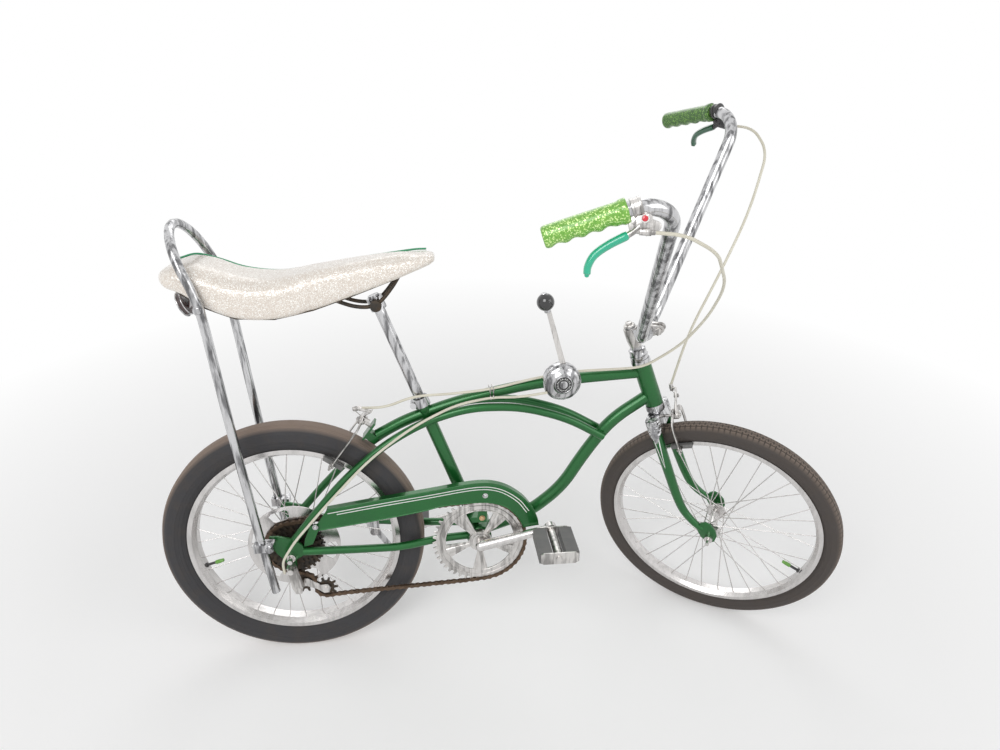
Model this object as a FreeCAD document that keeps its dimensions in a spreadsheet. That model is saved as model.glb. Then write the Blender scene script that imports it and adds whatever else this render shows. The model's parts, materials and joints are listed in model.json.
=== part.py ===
"""Chopper bicycle with a high-rise bar, a banana seat and a five-speed drive, in millimetres.

Every piece is first drawn in the frame of the upright bicycle: the origin is the rear axle,
+X runs to the front axle, +Y to the rider's left and +Z up. Each piece is then placed as the
bicycle parks: leaning to its left on the side stand, both tyres on the floor and the steering
turned to the right. The finished origin is the middle of its bounding box, on the floor.
"""
import FreeCAD, Part
import math
import os
import Sketcher
from FreeCAD import Placement, Rotation, Vector

SIZES = [
    # Wheels and axles, with the front axle level with the rear one
    ("wheelbase", 881), ("spoke_count", 36), ("spoke_radius", 1.0),
    ("rear_tyre_radius", 259), ("rear_tyre_width", 57), ("rear_bead_radius", 205),
    ("rear_rim_width", 39), ("rear_rim_depth", 16),
    ("front_tyre_radius", 249.5), ("front_tyre_width", 41), ("front_bead_radius", 210.5),
    ("front_rim_width", 28), ("front_rim_depth", 14), ("flange_height", 4.5), ("flange_wall", 2),
    ("rear_hub_right", 22), ("rear_hub_left", 31), ("rear_flange_radius", 27),
    ("front_hub_half", 31), ("front_flange_radius", 20), ("hub_flange_wall", 3),
    ("rear_axle_radius", 4.76), ("front_axle_radius", 3.97), ("axle_end", 14), ("nut_radius", 8.5),
    ("nut_length", 8), ("rear_drop_half", 60), ("front_drop_half", 48), ("drop_wall", 5),
    ("disc_radius", 91), ("disc_wall", 1.4), ("bearing_gap", 0.3),
    # Frame
    ("crank_centre_x", 371.5), ("crank_centre_z", -2), ("seat_angle", 69.8), ("seat_tube_length", 318),
    ("seat_tube_radius", 12.7), ("seat_tube_bore", 10.4), ("top_tube_radius", 11.1),
    ("down_tube_radius", 12.7), ("stay_radius", 8), ("stay_side", 21.2), ("stay_gap", 0.3),
    ("shell_radius", 25), ("shell_half", 34), ("shell_bore", 21),
    ("head_angle", 69), ("fork_offset", 46), ("head_start", 305), ("head_length", 95),
    ("head_radius", 18), ("head_bore", 15.5), ("steerer_radius", 12.7), ("cup_length", 13),
    ("cup_radius", 19.5), ("stack_length", 30),
    # Drive
    ("chain_pitch", 12.7), ("ring_teeth", 46), ("ring_plane", -46), ("cog_plane", -34.5),
    ("cog_step", 4.2), ("tooth_wall", 2.0), ("plate_half", 4.3), ("plate_wall", 1.1), ("plate_gap", 2.9),
    ("crank_length", 145), ("crank_angle", 12.8), ("arm_plane", -66), ("arm_radius", 8),
    ("pedal_length", 94), ("pedal_half", 40), ("pedal_pin", 6),
    ("guide_x", 13), ("guide_z", -85), ("tension_x", 54), ("tension_z", -101), ("pulley_teeth", 10),
    # Fork, bars and controls
    ("crown_low", 257), ("crown_top", 289), ("blade_half", 37), ("blade_radius", 10.5),
    ("bar_radius", 11.1), ("bar_rise_s", 466), ("bar_reach", 31), ("grip_radius", 16),
    ("stem_top", 480), ("stem_radius", 11.1),
    # Seat
    ("post_radius", 10.3), ("sissy_radius", 8), ("sissy_half", 84),
    # Parking pose
    ("lean", 8), ("steer", -33), ("foot_x", 205), ("foot_y", 195), ("foot_radius", 7),
    ("stand_radius", 6.5), ("stand_pivot_x", 150), ("stand_pivot_y", 57), ("stand_pivot_z", -24),
]

doc = FreeCAD.newDocument("ChopperBicycle")
sheet = doc.addObject("Spreadsheet::Sheet", "Sizes")
for row, (alias, number) in enumerate(SIZES, start=1):
    sheet.set(f"A{row}", alias)
    sheet.set(f"B{row}", str(number))
    sheet.setAlias(f"B{row}", alias)
doc.recompute()


class Size:
    """A number that also carries its formula in sheet cells."""

    def __init__(self, number, formula):
        self.number = float(number)
        self.formula = formula

    @staticmethod
    def of(value):
        return value if isinstance(value, Size) else Size(value, repr(float(value)))

    def __float__(self):
        return self.number

    def __add__(self, other):
        other = Size.of(other)
        return Size(self.number + other.number, f"({self.formula} + {other.formula})")

    def __sub__(self, other):
        other = Size.of(other)
        return Size(self.number - other.number, f"({self.formula} - {other.formula})")

    def __mul__(self, other):
        other = Size.of(other)
        return Size(self.number * other.number, f"({self.formula} * {other.formula})")

    def __truediv__(self, other):
        other = Size.of(other)
        return Size(self.number / other.number, f"({self.formula} / {other.formula})")

    def __neg__(self):
        return Size(-self.number, f"(-1 * {self.formula})")

    __radd__ = __add__
    __rmul__ = __mul__

    def __rsub__(self, other):
        return Size.of(other) - self


class Sheet:
    """The sizes by name, each as a Size."""

    def __getattr__(self, name):
        return Size(getattr(sheet, name), f"Sizes.{name}")


S = Sheet()
ORIGIN = Vector(0, 0, 0)
X_AXIS, Y_AXIS, Z_AXIS = Vector(1, 0, 0), Vector(0, 1, 0), Vector(0, 0, 1)


def num(name):
    """The plain value of a size."""
    return float(getattr(sheet, name))


def at(x, y, z):
    return Vector(float(x), float(y), float(z))


# The steering axis, through a point beside the front axle
head_turn = math.radians(num("head_angle"))
HEAD_DIR = Vector(-math.cos(head_turn), 0, math.sin(head_turn))
HEAD_FRONT = Vector(math.sin(head_turn), 0, math.cos(head_turn))
FRONT_AXLE = Vector(num("wheelbase"), 0, 0)
HEAD_FOOT = FRONT_AXLE - HEAD_FRONT * num("fork_offset")
seat_turn = math.radians(num("seat_angle"))
SEAT_DIR = Vector(-math.cos(seat_turn), 0, math.sin(seat_turn))
CRANK = Vector(num("crank_centre_x"), 0, num("crank_centre_z"))


def on_head(along, front=0.0, side=0.0):
    """A point given along the steering axis, ahead of it and to the left of it."""
    return HEAD_FOOT + HEAD_DIR * float(along) + HEAD_FRONT * float(front) + Y_AXIS * float(side)


def on_seat_tube(along, front=0.0, side=0.0):
    ahead = Vector(SEAT_DIR.z, 0, -SEAT_DIR.x)
    return CRANK + SEAT_DIR * along + ahead * front + Y_AXIS * side


STEER = (Placement(HEAD_FOOT, Rotation(HEAD_DIR, num("steer"))) * Placement(-HEAD_FOOT, Rotation()))


def lowest(turn, centre, axle, tyre_radius, section):
    """Height of a tyre's lowest point under a rotation, for a round section."""
    tilt = turn.multVec(axle).z
    return turn.multVec(centre).z - (tyre_radius - section) * math.sqrt(1 - tilt * tilt) - section


def parked():
    """The placement that leans the bicycle and stands both tyres on the floor."""
    front_centre = STEER.multVec(FRONT_AXLE)
    front_axle = STEER.Rotation.multVec(Y_AXIS)

    def heights(pitch):
        turn = Rotation(X_AXIS, -num("lean")) * Rotation(Y_AXIS, pitch)
        rear = lowest(turn, ORIGIN, Y_AXIS, num("rear_tyre_radius"), num("rear_tyre_width") / 2)
        front = lowest(turn, front_centre, front_axle, num("front_tyre_radius"),
                       num("front_tyre_width") / 2)
        return turn, rear, front

    low, high = -5.0, 5.0
    for _ in range(50):
        middle = (low + high) / 2
        _, rear, front = heights(middle)
        if front > rear:
            low = middle
        else:
            high = middle
    turn, rear, _ = heights(middle)
    return Placement(Vector(0, 0, -rear), turn)


PARKED = parked()
POSES = {"frame": PARKED, "steering": PARKED * STEER}
nodes = []


def node(label, item, body="frame"):
    """Name a finished piece and place it with its body."""
    item.Label = label
    item.Placement = POSES[body] * item.Placement
    nodes.append(item)
    return item


def solid_node(label, shape, body="frame"):
    """A node from a shape drawn in the upright frame."""
    item = doc.addObject("Part::Feature", label)
    item.Shape = shape
    item.Placement = shape.Placement
    return node(label, item, body)


def new_body(label, sketch_plane, outline):
    """A body with one closed polygon sketch, every corner bound to the sheet."""
    body = doc.addObject("PartDesign::Body", label)
    sketch = body.newObject("Sketcher::SketchObject", label + "Sketch")
    plane = [f for f in body.Origin.OriginFeatures if f.Role == sketch_plane][0]
    sketch.AttachmentSupport = [(plane, "")]
    sketch.MapMode = "FlatFace"
    corners = [(Size.of(a), Size.of(b)) for a, b in outline]
    count = len(corners)
    lines = [Part.LineSegment(at(*map(float, corners[i]), 0), at(*map(float, corners[(i + 1) % count]), 0))
             for i in range(count)]
    sketch.addGeometry(lines, False)
    for i in range(count):
        sketch.addConstraint(Sketcher.Constraint("Coincident", i, 2, (i + 1) % count, 1))
        for kind, size in zip(("DistanceX", "DistanceY"), corners[i]):
            index = sketch.addConstraint(Sketcher.Constraint(kind, -1, 1, i, 1, size.number))
            if "Sizes" in size.formula:
                sketch.setExpression(f"Constraints[{index}]", size.formula)
    return body, sketch


def turned(label, outline, body="frame", place=Placement()):
    """A body of revolution about Y: the outline gives radius and place along the axis."""
    item, sketch = new_body(label, "XY_Plane", outline)
    turn = item.newObject("PartDesign::Revolution", label + "Turn")
    turn.Profile = sketch
    turn.ReferenceAxis = (sketch, ["V_Axis"])
    turn.Angle = 360
    item.Placement = place
    return node(label, item, body)


def solid_turned(outline, centre, axis):
    """A plain solid of revolution about an axis, from (radius, along) corners."""
    corners = [Vector(float(r), 0, float(a)) for r, a in outline]
    face = Part.Face(Part.makePolygon(corners + corners[:1]))
    shape = face.revolve(ORIGIN, Z_AXIS, 360)
    shape.Placement = Placement(centre, Rotation(Z_AXIS, axis))
    return shape


def rod(start, end, radius):
    run = end - start
    return Part.makeCylinder(float(radius), run.Length, start, run)


def pipe(start, end, radius, bore):
    return rod(start, end, radius).cut(rod(start - (end - start), end + (end - start), bore))


def path(points, share=0.45, largest=1000.0):
    """Straight runs joined by tangent arcs, each as large as its runs allow."""
    edges, here = [], points[0]
    for before, corner, after in zip(points, points[1:], points[2:]):
        back, on = (before - corner), (after - corner)
        short = min(back.Length, on.Length)
        back.normalize()
        on.normalize()
        half = back.getAngle(on) / 2
        reach = min(share * short, largest / math.tan(half))
        radius = reach * math.tan(half)
        start, end = corner + back * reach, corner + on * reach
        middle_way = back + on
        middle_way.normalize()
        centre = corner + middle_way * math.hypot(reach, radius)
        middle = centre - middle_way * radius
        edges += [Part.LineSegment(here, start).toShape(), Part.Arc(start, middle, end).toShape()]
        here = end
    edges.append(Part.LineSegment(here, points[-1]).toShape())
    return Part.Wire(edges)


def tube(points, radius, share=0.45, largest=1000.0):
    """A round tube along a path of runs and arcs."""
    wire = path(points, share, largest)
    ring = Part.Wire(Part.makeCircle(float(radius), points[0], points[1] - points[0]))
    return wire.makePipeShell([ring], True, False)


def mirrored(shape):
    """The piece and its twin on the other side."""
    return shape.mirror(ORIGIN, Y_AXIS)


def plate(points, y_from, y_to):
    """A flat plate in the side view, from (x, z) corners, between two side planes."""
    corners = [Vector(float(x), float(y_from), float(z)) for x, z in points]
    face = Part.Face(Part.makePolygon(corners + corners[:1]))
    return face.extrude(Vector(0, float(y_to) - float(y_from), 0))


def joined(*shapes):
    whole = shapes[0].fuse(list(shapes[1:]))
    return whole.removeSplitter()


def pitch_radius(teeth):
    return num("chain_pitch") / 2 / math.sin(math.pi / teeth)


def sprocket(teeth, centre, thick, bore):
    """A toothed disc about Y: pointed teeth on the pitch circle, with a round bore."""
    pitch = pitch_radius(teeth)
    root, tip = pitch - 3.9, pitch + 3.2
    corners = []
    for tooth in range(teeth):
        for step, radius in ((-0.28, root), (-0.12, tip), (0.12, tip), (0.28, root)):
            turn = 2 * math.pi * (tooth + step) / teeth
            corners.append(Vector(radius * math.cos(turn), -thick / 2, radius * math.sin(turn)))
    disc = Part.Face(Part.makePolygon(corners + corners[:1])).extrude(Vector(0, thick, 0))
    disc.translate(centre)
    return disc.cut(rod(centre - Y_AXIS * thick, centre + Y_AXIS * thick, bore))


# Wheels
def wheel(name, body, centre, bead, flange, rim_half, rim_depth, tyre_radius, tyre_half, hub):
    """Tyre, rim, spokes and hub of one wheel."""
    place = Placement(centre, Rotation())
    neck = rim_half - S.flange_wall - 0.5
    rise = tyre_radius - bead
    tyre_outline = [
        (bead + 0.5, neck), (flange + 0.6, neck + 0.3), (bead + rise * 0.28, tyre_half * 0.88),
        (bead + rise * 0.5, tyre_half), (bead + rise * 0.75, tyre_half * 0.92),
        (bead + rise * 0.93, tyre_half * 0.68), (tyre_radius, tyre_half * 0.3)]
    tyre_outline += [(r, -a) for r, a in reversed(tyre_outline)]
    turned(name + "_tyre", tyre_outline, body, place)
    rim_outline = [
        (flange, rim_half), (flange, rim_half - S.flange_wall), (bead, rim_half - S.flange_wall),
        (bead, -(rim_half - S.flange_wall)), (flange, -(rim_half - S.flange_wall)), (flange, -rim_half),
        (flange - rim_depth * 0.55, -rim_half), (flange - rim_depth, -rim_half * 0.5),
        (flange - rim_depth, rim_half * 0.5), (flange - rim_depth * 0.55, rim_half)]
    rim = turned(name + "_rim", rim_outline, body, place)
    hub_node = turned(name + "_hub", hub["outline"], body, place)
    doc.recompute()
    inner = float(flange - rim_depth)
    pairs = int(num("spoke_count")) // 4
    step = 360.0 / pairs
    spokes = []
    rim_shape, hub_shape = rim.Shape.copy(), hub_node.Shape.copy()
    back = POSES[body].inverse()
    for shape in (rim_shape, hub_shape):
        shape.Placement = back * shape.Placement
    for side, plane in ((1, hub["left"]), (-1, hub["right"])):
        for lead, offset, face in ((1, 0.0, 2.4), (-1, 0.5, -2.4)):
            base = (0.0 if side > 0 else 0.25) + offset
            rim_turn = math.radians(base * step)
            hub_turn = rim_turn + lead * math.radians(hub["sweep"])
            inner_end = centre + at(hub["radius"] * math.cos(hub_turn), plane + face * side,
                                    hub["radius"] * math.sin(hub_turn))
            outer_end = centre + at((inner + 1.0) * math.cos(rim_turn), side * 2.5,
                                    (inner + 1.0) * math.sin(rim_turn))
            spoke = rod(inner_end, outer_end, num("spoke_radius")).cut([rim_shape, hub_shape])
            spoke = max(spoke.Solids, key=lambda part: part.Volume)
            for turn in range(pairs):
                copy = spoke.copy()
                copy.rotate(centre, Y_AXIS, turn * step)
                spokes.append(copy)
    solid_node(name + "_spokes", Part.makeCompound(spokes), body)


axle_bore_rear = S.rear_axle_radius + S.bearing_gap
rear_hub = {
    "outline": [
        (axle_bore_rear, S.rear_hub_left + 8), (14, S.rear_hub_left + 8),
        (14, S.rear_hub_left + S.hub_flange_wall / 2), (S.rear_flange_radius, S.rear_hub_left + S.hub_flange_wall / 2),
        (S.rear_flange_radius, S.rear_hub_left - S.hub_flange_wall / 2), (13, S.rear_hub_left - S.hub_flange_wall / 2),
        (13, -(S.rear_hub_right - S.hub_flange_wall / 2)),
        (S.rear_flange_radius, -(S.rear_hub_right - S.hub_flange_wall / 2)),
        (S.rear_flange_radius, -(S.rear_hub_right + S.hub_flange_wall / 2)), (12, -(S.rear_hub_right + S.hub_flange_wall / 2)),
        (12, -(S.rear_hub_right + 5)), (axle_bore_rear, -(S.rear_hub_right + 5))],
    "left": num("rear_hub_left"), "right": -num("rear_hub_right"),
    "radius": num("rear_flange_radius") - 3, "sweep": 72}
wheel("rear", "frame", ORIGIN, S.rear_bead_radius, S.rear_bead_radius + S.flange_height,
      S.rear_rim_width / 2, S.rear_rim_depth, S.rear_tyre_radius, S.rear_tyre_width / 2, rear_hub)
axle_bore_front = S.front_axle_radius + S.bearing_gap
front_hub = {
    "outline": [
        (axle_bore_front, S.front_hub_half + 9), (9, S.front_hub_half + 9), (10, S.front_hub_half + S.hub_flange_wall / 2),
        (S.front_flange_radius, S.front_hub_half + S.hub_flange_wall / 2),
        (S.front_flange_radius, S.front_hub_half - S.hub_flange_wall / 2), (9.5, S.front_hub_half - S.hub_flange_wall / 2 - 2),
        (9.5, -(S.front_hub_half - S.hub_flange_wall / 2 - 2)),
        (S.front_flange_radius, -(S.front_hub_half - S.hub_flange_wall / 2)),
        (S.front_flange_radius, -(S.front_hub_half + S.hub_flange_wall / 2)),
        (10, -(S.front_hub_half + S.hub_flange_wall / 2)), (9, -(S.front_hub_half + 9)),
        (axle_bore_front, -(S.front_hub_half + 9))],
    "left": num("front_hub_half"), "right": -num("front_hub_half"),
    "radius": num("front_flange_radius") - 3, "sweep": 72}
wheel("front", "steering", FRONT_AXLE, S.front_bead_radius, S.front_bead_radius + S.flange_height,
      S.front_rim_width / 2, S.front_rim_depth, S.front_tyre_radius, S.front_tyre_width / 2, front_hub)

# Spoke protector: a flat chrome disc with slots, screwed to the hub's right flange
disc_y = -(num("rear_hub_right") + num("hub_flange_wall") / 2 + 4.2)
disc = pipe(at(0, disc_y, 0), at(0, disc_y - num("disc_wall"), 0), num("disc_radius"), 30)
hub_rim = pipe(at(0, disc_y, 0), at(0, disc_y + 4, 0), 33, 30.5)
slots = []
for turn in range(6):
    slot = plate([(62, -11), (66, -17), (78, -21), (83, -14), (83, 14), (78, 21), (66, 17), (62, 11)],
                 disc_y + 1, disc_y - 3)
    slot.rotate(ORIGIN, Y_AXIS, turn * 60 + 12)
    slots.append(slot)
solid_node("spoke_protector", joined(disc.cut(slots), hub_rim))


def axle(name, body, centre, radius, drop_half):
    """A threaded axle with cones, and a nut outside each dropout."""
    reach = drop_half + num("drop_wall") + num("nut_length") + num("axle_end")
    shape = rod(centre - Y_AXIS * reach, centre + Y_AXIS * reach, radius)
    parts = [shape]
    for side in (1, -1):
        cone = num("nut_radius")
        inner = centre + Y_AXIS * side * (drop_half - 5)
        parts.append(rod(inner, centre + Y_AXIS * side * drop_half, cone))
        outer = centre + Y_AXIS * side * (drop_half + num("drop_wall"))
        parts.append(rod(outer, outer + Y_AXIS * side * num("nut_length"), cone))
    return solid_node(name, joined(*parts), body)


axle("rear_axle", "frame", ORIGIN, num("rear_axle_radius"), num("rear_drop_half"))
axle("front_axle", "steering", FRONT_AXLE, num("front_axle_radius"), num("front_drop_half"))

# Frame tubes, each cut to the ones it meets
head_low, head_high = on_head(num("head_start")), on_head(num("head_start") + num("head_length"))
head_solid = rod(head_low, head_high, num("head_radius"))
head_tube = head_solid.cut(rod(on_head(0), on_head(600), num("head_bore")))
solid_node("head_tube", head_tube)

seat_top = on_seat_tube(num("seat_tube_length"))
seat_solid = rod(CRANK, seat_top, num("seat_tube_radius"))
shell_solid = rod(CRANK - Y_AXIS * num("shell_half"), CRANK + Y_AXIS * num("shell_half"), num("shell_radius"))
shell = shell_solid.cut(rod(CRANK - Y_AXIS * 99, CRANK + Y_AXIS * 99, num("shell_bore")))
solid_node("bottom_bracket_shell", shell)
seat_tube = seat_solid.cut([shell_solid, rod(on_seat_tube(100), on_seat_tube(600), num("seat_tube_bore"))])

top_points = [at(176, 0, 224), at(232, 0, 254), at(335, 0, 290), at(470, 0, 319), at(590, 0, 329),
              on_head(377)]
top_solid = tube(top_points, S.top_tube_radius)
top_tube = top_solid.cut([seat_solid, head_solid])
solid_node("seat_tube", seat_tube)
solid_node("top_tube", Part.makeCompound(top_tube.Solids))

down_points = [on_head(327), at(640, 0, 234), at(588, 0, 160), at(545, 0, 86), at(475, 0, 28), CRANK + at(20, 0, 2)]
down_solid = tube(down_points, S.down_tube_radius)
down_tube = down_solid.cut([head_solid, shell_solid])
solid_node("down_tube", Part.makeCompound([max(down_tube.Solids, key=lambda part: part.Volume)]))


def dropout_plate(points, y_from, y_to, centre, bore):
    """A flat dropout with a round axle hole."""
    return plate(points, y_from, y_to).cut(rod(centre - Y_AXIS * 99, centre + Y_AXIS * 99, bore))


rear_inner = num("rear_drop_half")
rear_outer = rear_inner + num("drop_wall")
REAR_DROPOUT = [(-42, 30), (-38, 46), (-24, 46), (6, 38), (22, 24), (26, 10), (22, 0), (8, -8), (8, -28),
                (-6, -28), (-14, -8), (-26, 6), (-34, 20)]
drop_right = dropout_plate(REAR_DROPOUT, -rear_inner, -rear_outer, ORIGIN, num("rear_axle_radius") + 0.1)
solid_node("rear_dropouts", Part.makeCompound([drop_right, mirrored(drop_right)]))

side = num("stay_side")
stay_points = [at(622, -side, 208), at(548, -side, 252), at(455, -side, 281), at(355, -side, 283),
               at(268, -side, 257), at(190, -30, 216), at(110, -42, 151), at(50, -53, 84), at(8, -60, 34)]
stay = tube(stay_points, S.stay_radius).cut([drop_right, top_solid])
stay = max(stay.Solids, key=lambda part: part.Volume)
solid_node("cantilever_tubes", Part.makeCompound([stay, mirrored(stay)]))

chain_points = [at(22, -62.5, 8), at(120, -54, 0), at(215, -46.5, -6), at(285, -31, -2), at(360, -24, -2)]
chainstay = tube(chain_points, S.stay_radius).cut([shell_solid, drop_right])
chainstay = max(chainstay.Solids, key=lambda part: part.Volume)
solid_node("chainstays", Part.makeCompound([chainstay, mirrored(chainstay)]))

# Crank bearings in the shell's ends
bearing = pipe(CRANK + at(0, 24, 0), CRANK + at(0, 37, 0), num("shell_bore") - 0.05, 9.3)
solid_node("crank_bearings", Part.makeCompound([bearing, bearing.mirror(ORIGIN, Y_AXIS)]))

# Headset: cups pressed in the head tube, and nuts on the steerer
cup_low = pipe(on_head(num("head_start") - num("cup_length")), head_low, num("cup_radius"), num("steerer_radius") + 0.3)
cup_high = pipe(head_high, on_head(num("head_start") + num("head_length") + 9), num("cup_radius"),
                num("steerer_radius") + 0.3)
solid_node("headset_cups", Part.makeCompound([cup_low, cup_high]))
nut_start = num("head_start") + num("head_length") + 9.3
nut_end = num("head_start") + num("head_length") + num("stack_length")
solid_node("headset_nuts", solid_turned(
    [(12.75, 0), (18, 0), (18, 7), (16.5, 8), (16.5, 20), (15, nut_end - nut_start), (11.3, nut_end - nut_start),
     (11.3, 16), (12.75, 16)], on_head(nut_start), HEAD_DIR), "steering")

# Brake bridge: a cross plate on the top tube's rear end
BRIDGE_TURN = math.radians(53)
bridge_out = Vector(math.cos(BRIDGE_TURN), 0, math.sin(BRIDGE_TURN))
bridge_back = Vector(-math.sin(BRIDGE_TURN), 0, math.cos(BRIDGE_TURN))


def on_bridge(out, back, left):
    """A point given from the rear axle outwards, then backwards round the wheel, then left."""
    return bridge_out * out + bridge_back * back + Y_AXIS * left


def bridge_box(out, back, left):
    """A box between two limits along each of the bridge's directions."""
    corners = [on_bridge(out[i], back[j], left[0]) for i, j in ((0, 0), (1, 0), (1, 1), (0, 1), (0, 0))]
    return Part.Face(Part.makePolygon(corners)).extrude(Y_AXIS * (left[1] - left[0]))


bridge = bridge_box((266, 306), (12, 16), (-14, 14)).cut(
    rod(on_bridge(293, 0, 0), on_bridge(293, 40, 0), 3.05)).fuse(
    bridge_box((269, 285), (-10, 12), (-10, 10)).cut(top_solid)).cut(top_solid)
solid_node("brake_bridge", max(bridge.Solids, key=lambda part: part.Volume))


def pad_blocks(rim_half, reach):
    """The two brake blocks of a caliper, beside the rim."""
    return [Part.makeBox(42, 8, 9, Vector(-27, min(left * (rim_half + 1.5), left * (rim_half + 9.5)),
                                          -reach - 4.5)) for left in (1, -1)]


def caliper(label, place, half_gap, reach, rim_half, tip_side, body):
    """A side-pull caliper: the bolt runs along X, the arms reach down around the tyre."""
    outer = half_gap + 9
    arch = plate([(-outer, -reach * 0.55), (-outer, -12), (-outer + 14, 8), (-8, 17), (8, 17), (outer - 2, 48),
                  (outer + 8, 44), (outer - 6, 4), (outer, -12), (outer, -reach * 0.55), (outer - 6, -reach - 6),
                  (half_gap - 6, -reach - 6), (half_gap - 6, -reach + 6), (half_gap, -reach * 0.55), (half_gap, -22),
                  (half_gap - 12, -9), (-half_gap + 12, -9), (-half_gap, -22), (-half_gap, -reach * 0.55),
                  (-half_gap + 6, -reach + 6), (-half_gap + 6, -reach - 6), (-outer + 6, -reach - 6)], 3, 10)
    arch.rotate(ORIGIN, Z_AXIS, 90)
    if tip_side < 0:
        arch = arch.mirror(ORIGIN, Y_AXIS)
    blocks = pad_blocks(rim_half, reach)
    holders = [rod(Vector(-6.5, side * (rim_half + 5), -reach), Vector(-6.5, side * (half_gap + 5), -reach), 3.5)
               for side in (1, -1)]
    bolt = rod(Vector(-14, 0, 0), Vector(-3, 0, 0), 3).fuse(rod(Vector(-10, 0, 0), Vector(-13.5, 0, 0), 6.5))
    nut = rod(Vector(-3, 0, 0), Vector(18, 0, 0), 3)
    whole = joined(arch, bolt, nut, *holders).cut(blocks)
    whole = max(whole.Solids, key=lambda part: part.Volume)
    whole.Placement = place
    solid_node(label, whole, body)
    pads = Part.makeCompound(blocks)
    pads.Placement = place
    solid_node(label + "_pads", pads, body)


rear_caliper_turn = Rotation(-bridge_back, Y_AXIS * -1, bridge_out, "ZXY")
caliper("rear_brake", Placement(on_bridge(293, 30, 0), rear_caliper_turn), 35, 95, num("rear_rim_width") / 2, 1,
        "frame")
front_caliper_turn = Rotation(-HEAD_FRONT, Y_AXIS * -1, HEAD_DIR, "ZXY")
caliper("front_brake", Placement(on_head(272, 30, 0), front_caliper_turn), 28, 62, num("front_rim_width") / 2, -1,
        "steering")

# Seat post, collar and clamp
post_low, post_high = on_seat_tube(200), on_seat_tube(540)
solid_node("seat_post", rod(post_low, post_high, num("post_radius")))
collar = pipe(on_seat_tube(num("seat_tube_length") - 14), on_seat_tube(num("seat_tube_length") + 4), 16, 12.75)
ears = rod(on_seat_tube(num("seat_tube_length") - 5, -16, -12), on_seat_tube(num("seat_tube_length") - 5, -16, 12), 6)
collar = collar.fuse(ears).cut(rod(CRANK, on_seat_tube(600), 12.75))
solid_node("seat_collar", max(collar.Solids, key=lambda part: part.Volume))

SEAT_LOW = [(-160, 546), (-126, 533), (-90, 508), (-42, 488), (21, 484), (86, 496), (153, 517), (219, 540), (285, 566)]
SEAT_HIGH = [(296, 570), (279, 578), (194, 566), (100, 549), (2, 535), (-52, 542), (-86, 557), (-126, 566), (-160, 558)]
SEAT_PLAN = [(298, -18), (290, -34), (220, -42), (120, -56), (20, -70), (-60, -75), (-130, -72), (-152, -58), (-164, -30)]
PAN_WALL = 3
seat_side = plate(SEAT_LOW + SEAT_HIGH, -99, 99)


def plan_solid(outline, low, high):
    full = outline + [(x, -y) for x, y in reversed(outline)]
    corners = [Vector(x, y, low) for x, y in full]
    return Part.Face(Part.makePolygon(corners + corners[:1])).extrude(Vector(0, 0, high - low))


seat_plan = plan_solid(SEAT_PLAN, 400, 700)
solid_node("seat_cushion", seat_side.common(seat_plan))
pan_high = [(x, z - 0.4) for x, z in reversed(SEAT_LOW)]
pan_low = [(x, z - 0.4 - PAN_WALL) for x, z in SEAT_LOW]
pan = plate(pan_low + pan_high, -99, 99).common(plan_solid(
    [(285, -16), (278, -30), (218, -37), (120, -50), (20, -63), (-60, -68), (-125, -66), (-145, -52), (-155, -26)],
    400, 700))
solid_node("seat_pan", pan)
bracket_low = on_seat_tube(512)
clamp = rod(bracket_low, on_seat_tube(536), 15).fuse(rod(on_seat_tube(524, 0, -26), on_seat_tube(524, 0, 26), 9))
rails = [plate([(130, 505.5), (165, 500), (200, 512), (235, 541.5), (228, 538.8), (198, 518), (165, 507), (134, 506.8)],
               side * 20 - 3, side * 20 + 3) for side in (1, -1)]
clamp = clamp.fuse(rails).cut([rod(CRANK, on_seat_tube(700), 10.35), pan])
solid_node("seat_clamp", max(clamp.Solids, key=lambda part: part.Volume))

# Sissy bar: one bent tube, clamped to the dropouts' rear tabs and bolted beside the seat
half = num("sissy_half")
sissy_leg = [at(-33, -half, -66), at(-50, -half, 60), at(-70, -half, 260), at(-92, -half, 500), at(-112, -80, 585),
             at(-140, -62, 634)]
sissy_points = sissy_leg + [at(p.x, -p.y, p.z) for p in reversed(sissy_leg)]
sissy = tube(sissy_points, S.sissy_radius, largest=60.0)
solid_node("sissy_bar", sissy)
lug_z = 40
lug_x = -47
lug = plate([(lug_x - 14, lug_z - 9), (lug_x + 22, lug_z - 7), (lug_x + 22, lug_z + 7), (lug_x - 14, lug_z + 9)],
            -half - 11, -half + 11).cut(rod(at(lug_x + 9, -half - 20, lug_z), at(lug_x + 9, -half - 19, lug_z), 1))
lug = lug.fuse(rod(at(lug_x + 15, -half, lug_z), at(lug_x + 15, -rear_outer, lug_z), 4))
lug = lug.fuse(rod(at(lug_x + 15, -half - 11, lug_z), at(lug_x + 15, -half - 17, lug_z), 6.5)).cut(sissy)
lug = max(lug.Solids, key=lambda part: part.Volume)
seat_bolt = rod(at(-93, -76.5, 515), at(-93, -66, 515), 4).cut(sissy)
seat_bolt = rod(at(-93, -half + 8.2, 512), at(-93, -69, 512), 4)
solid_node("sissy_brackets", Part.makeCompound([lug, mirrored(lug)]))
reflector = rod(at(-138, 0, 500), at(-148, 0, 496), 22)
bracket = plate([(-137, 488), (-135, 488), (-127, 528), (-110, 517.2), (-110, 519.8), (-130, 533)], -8, 8)
solid_node("rear_reflector", joined(reflector, bracket).cut(pan))

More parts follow.
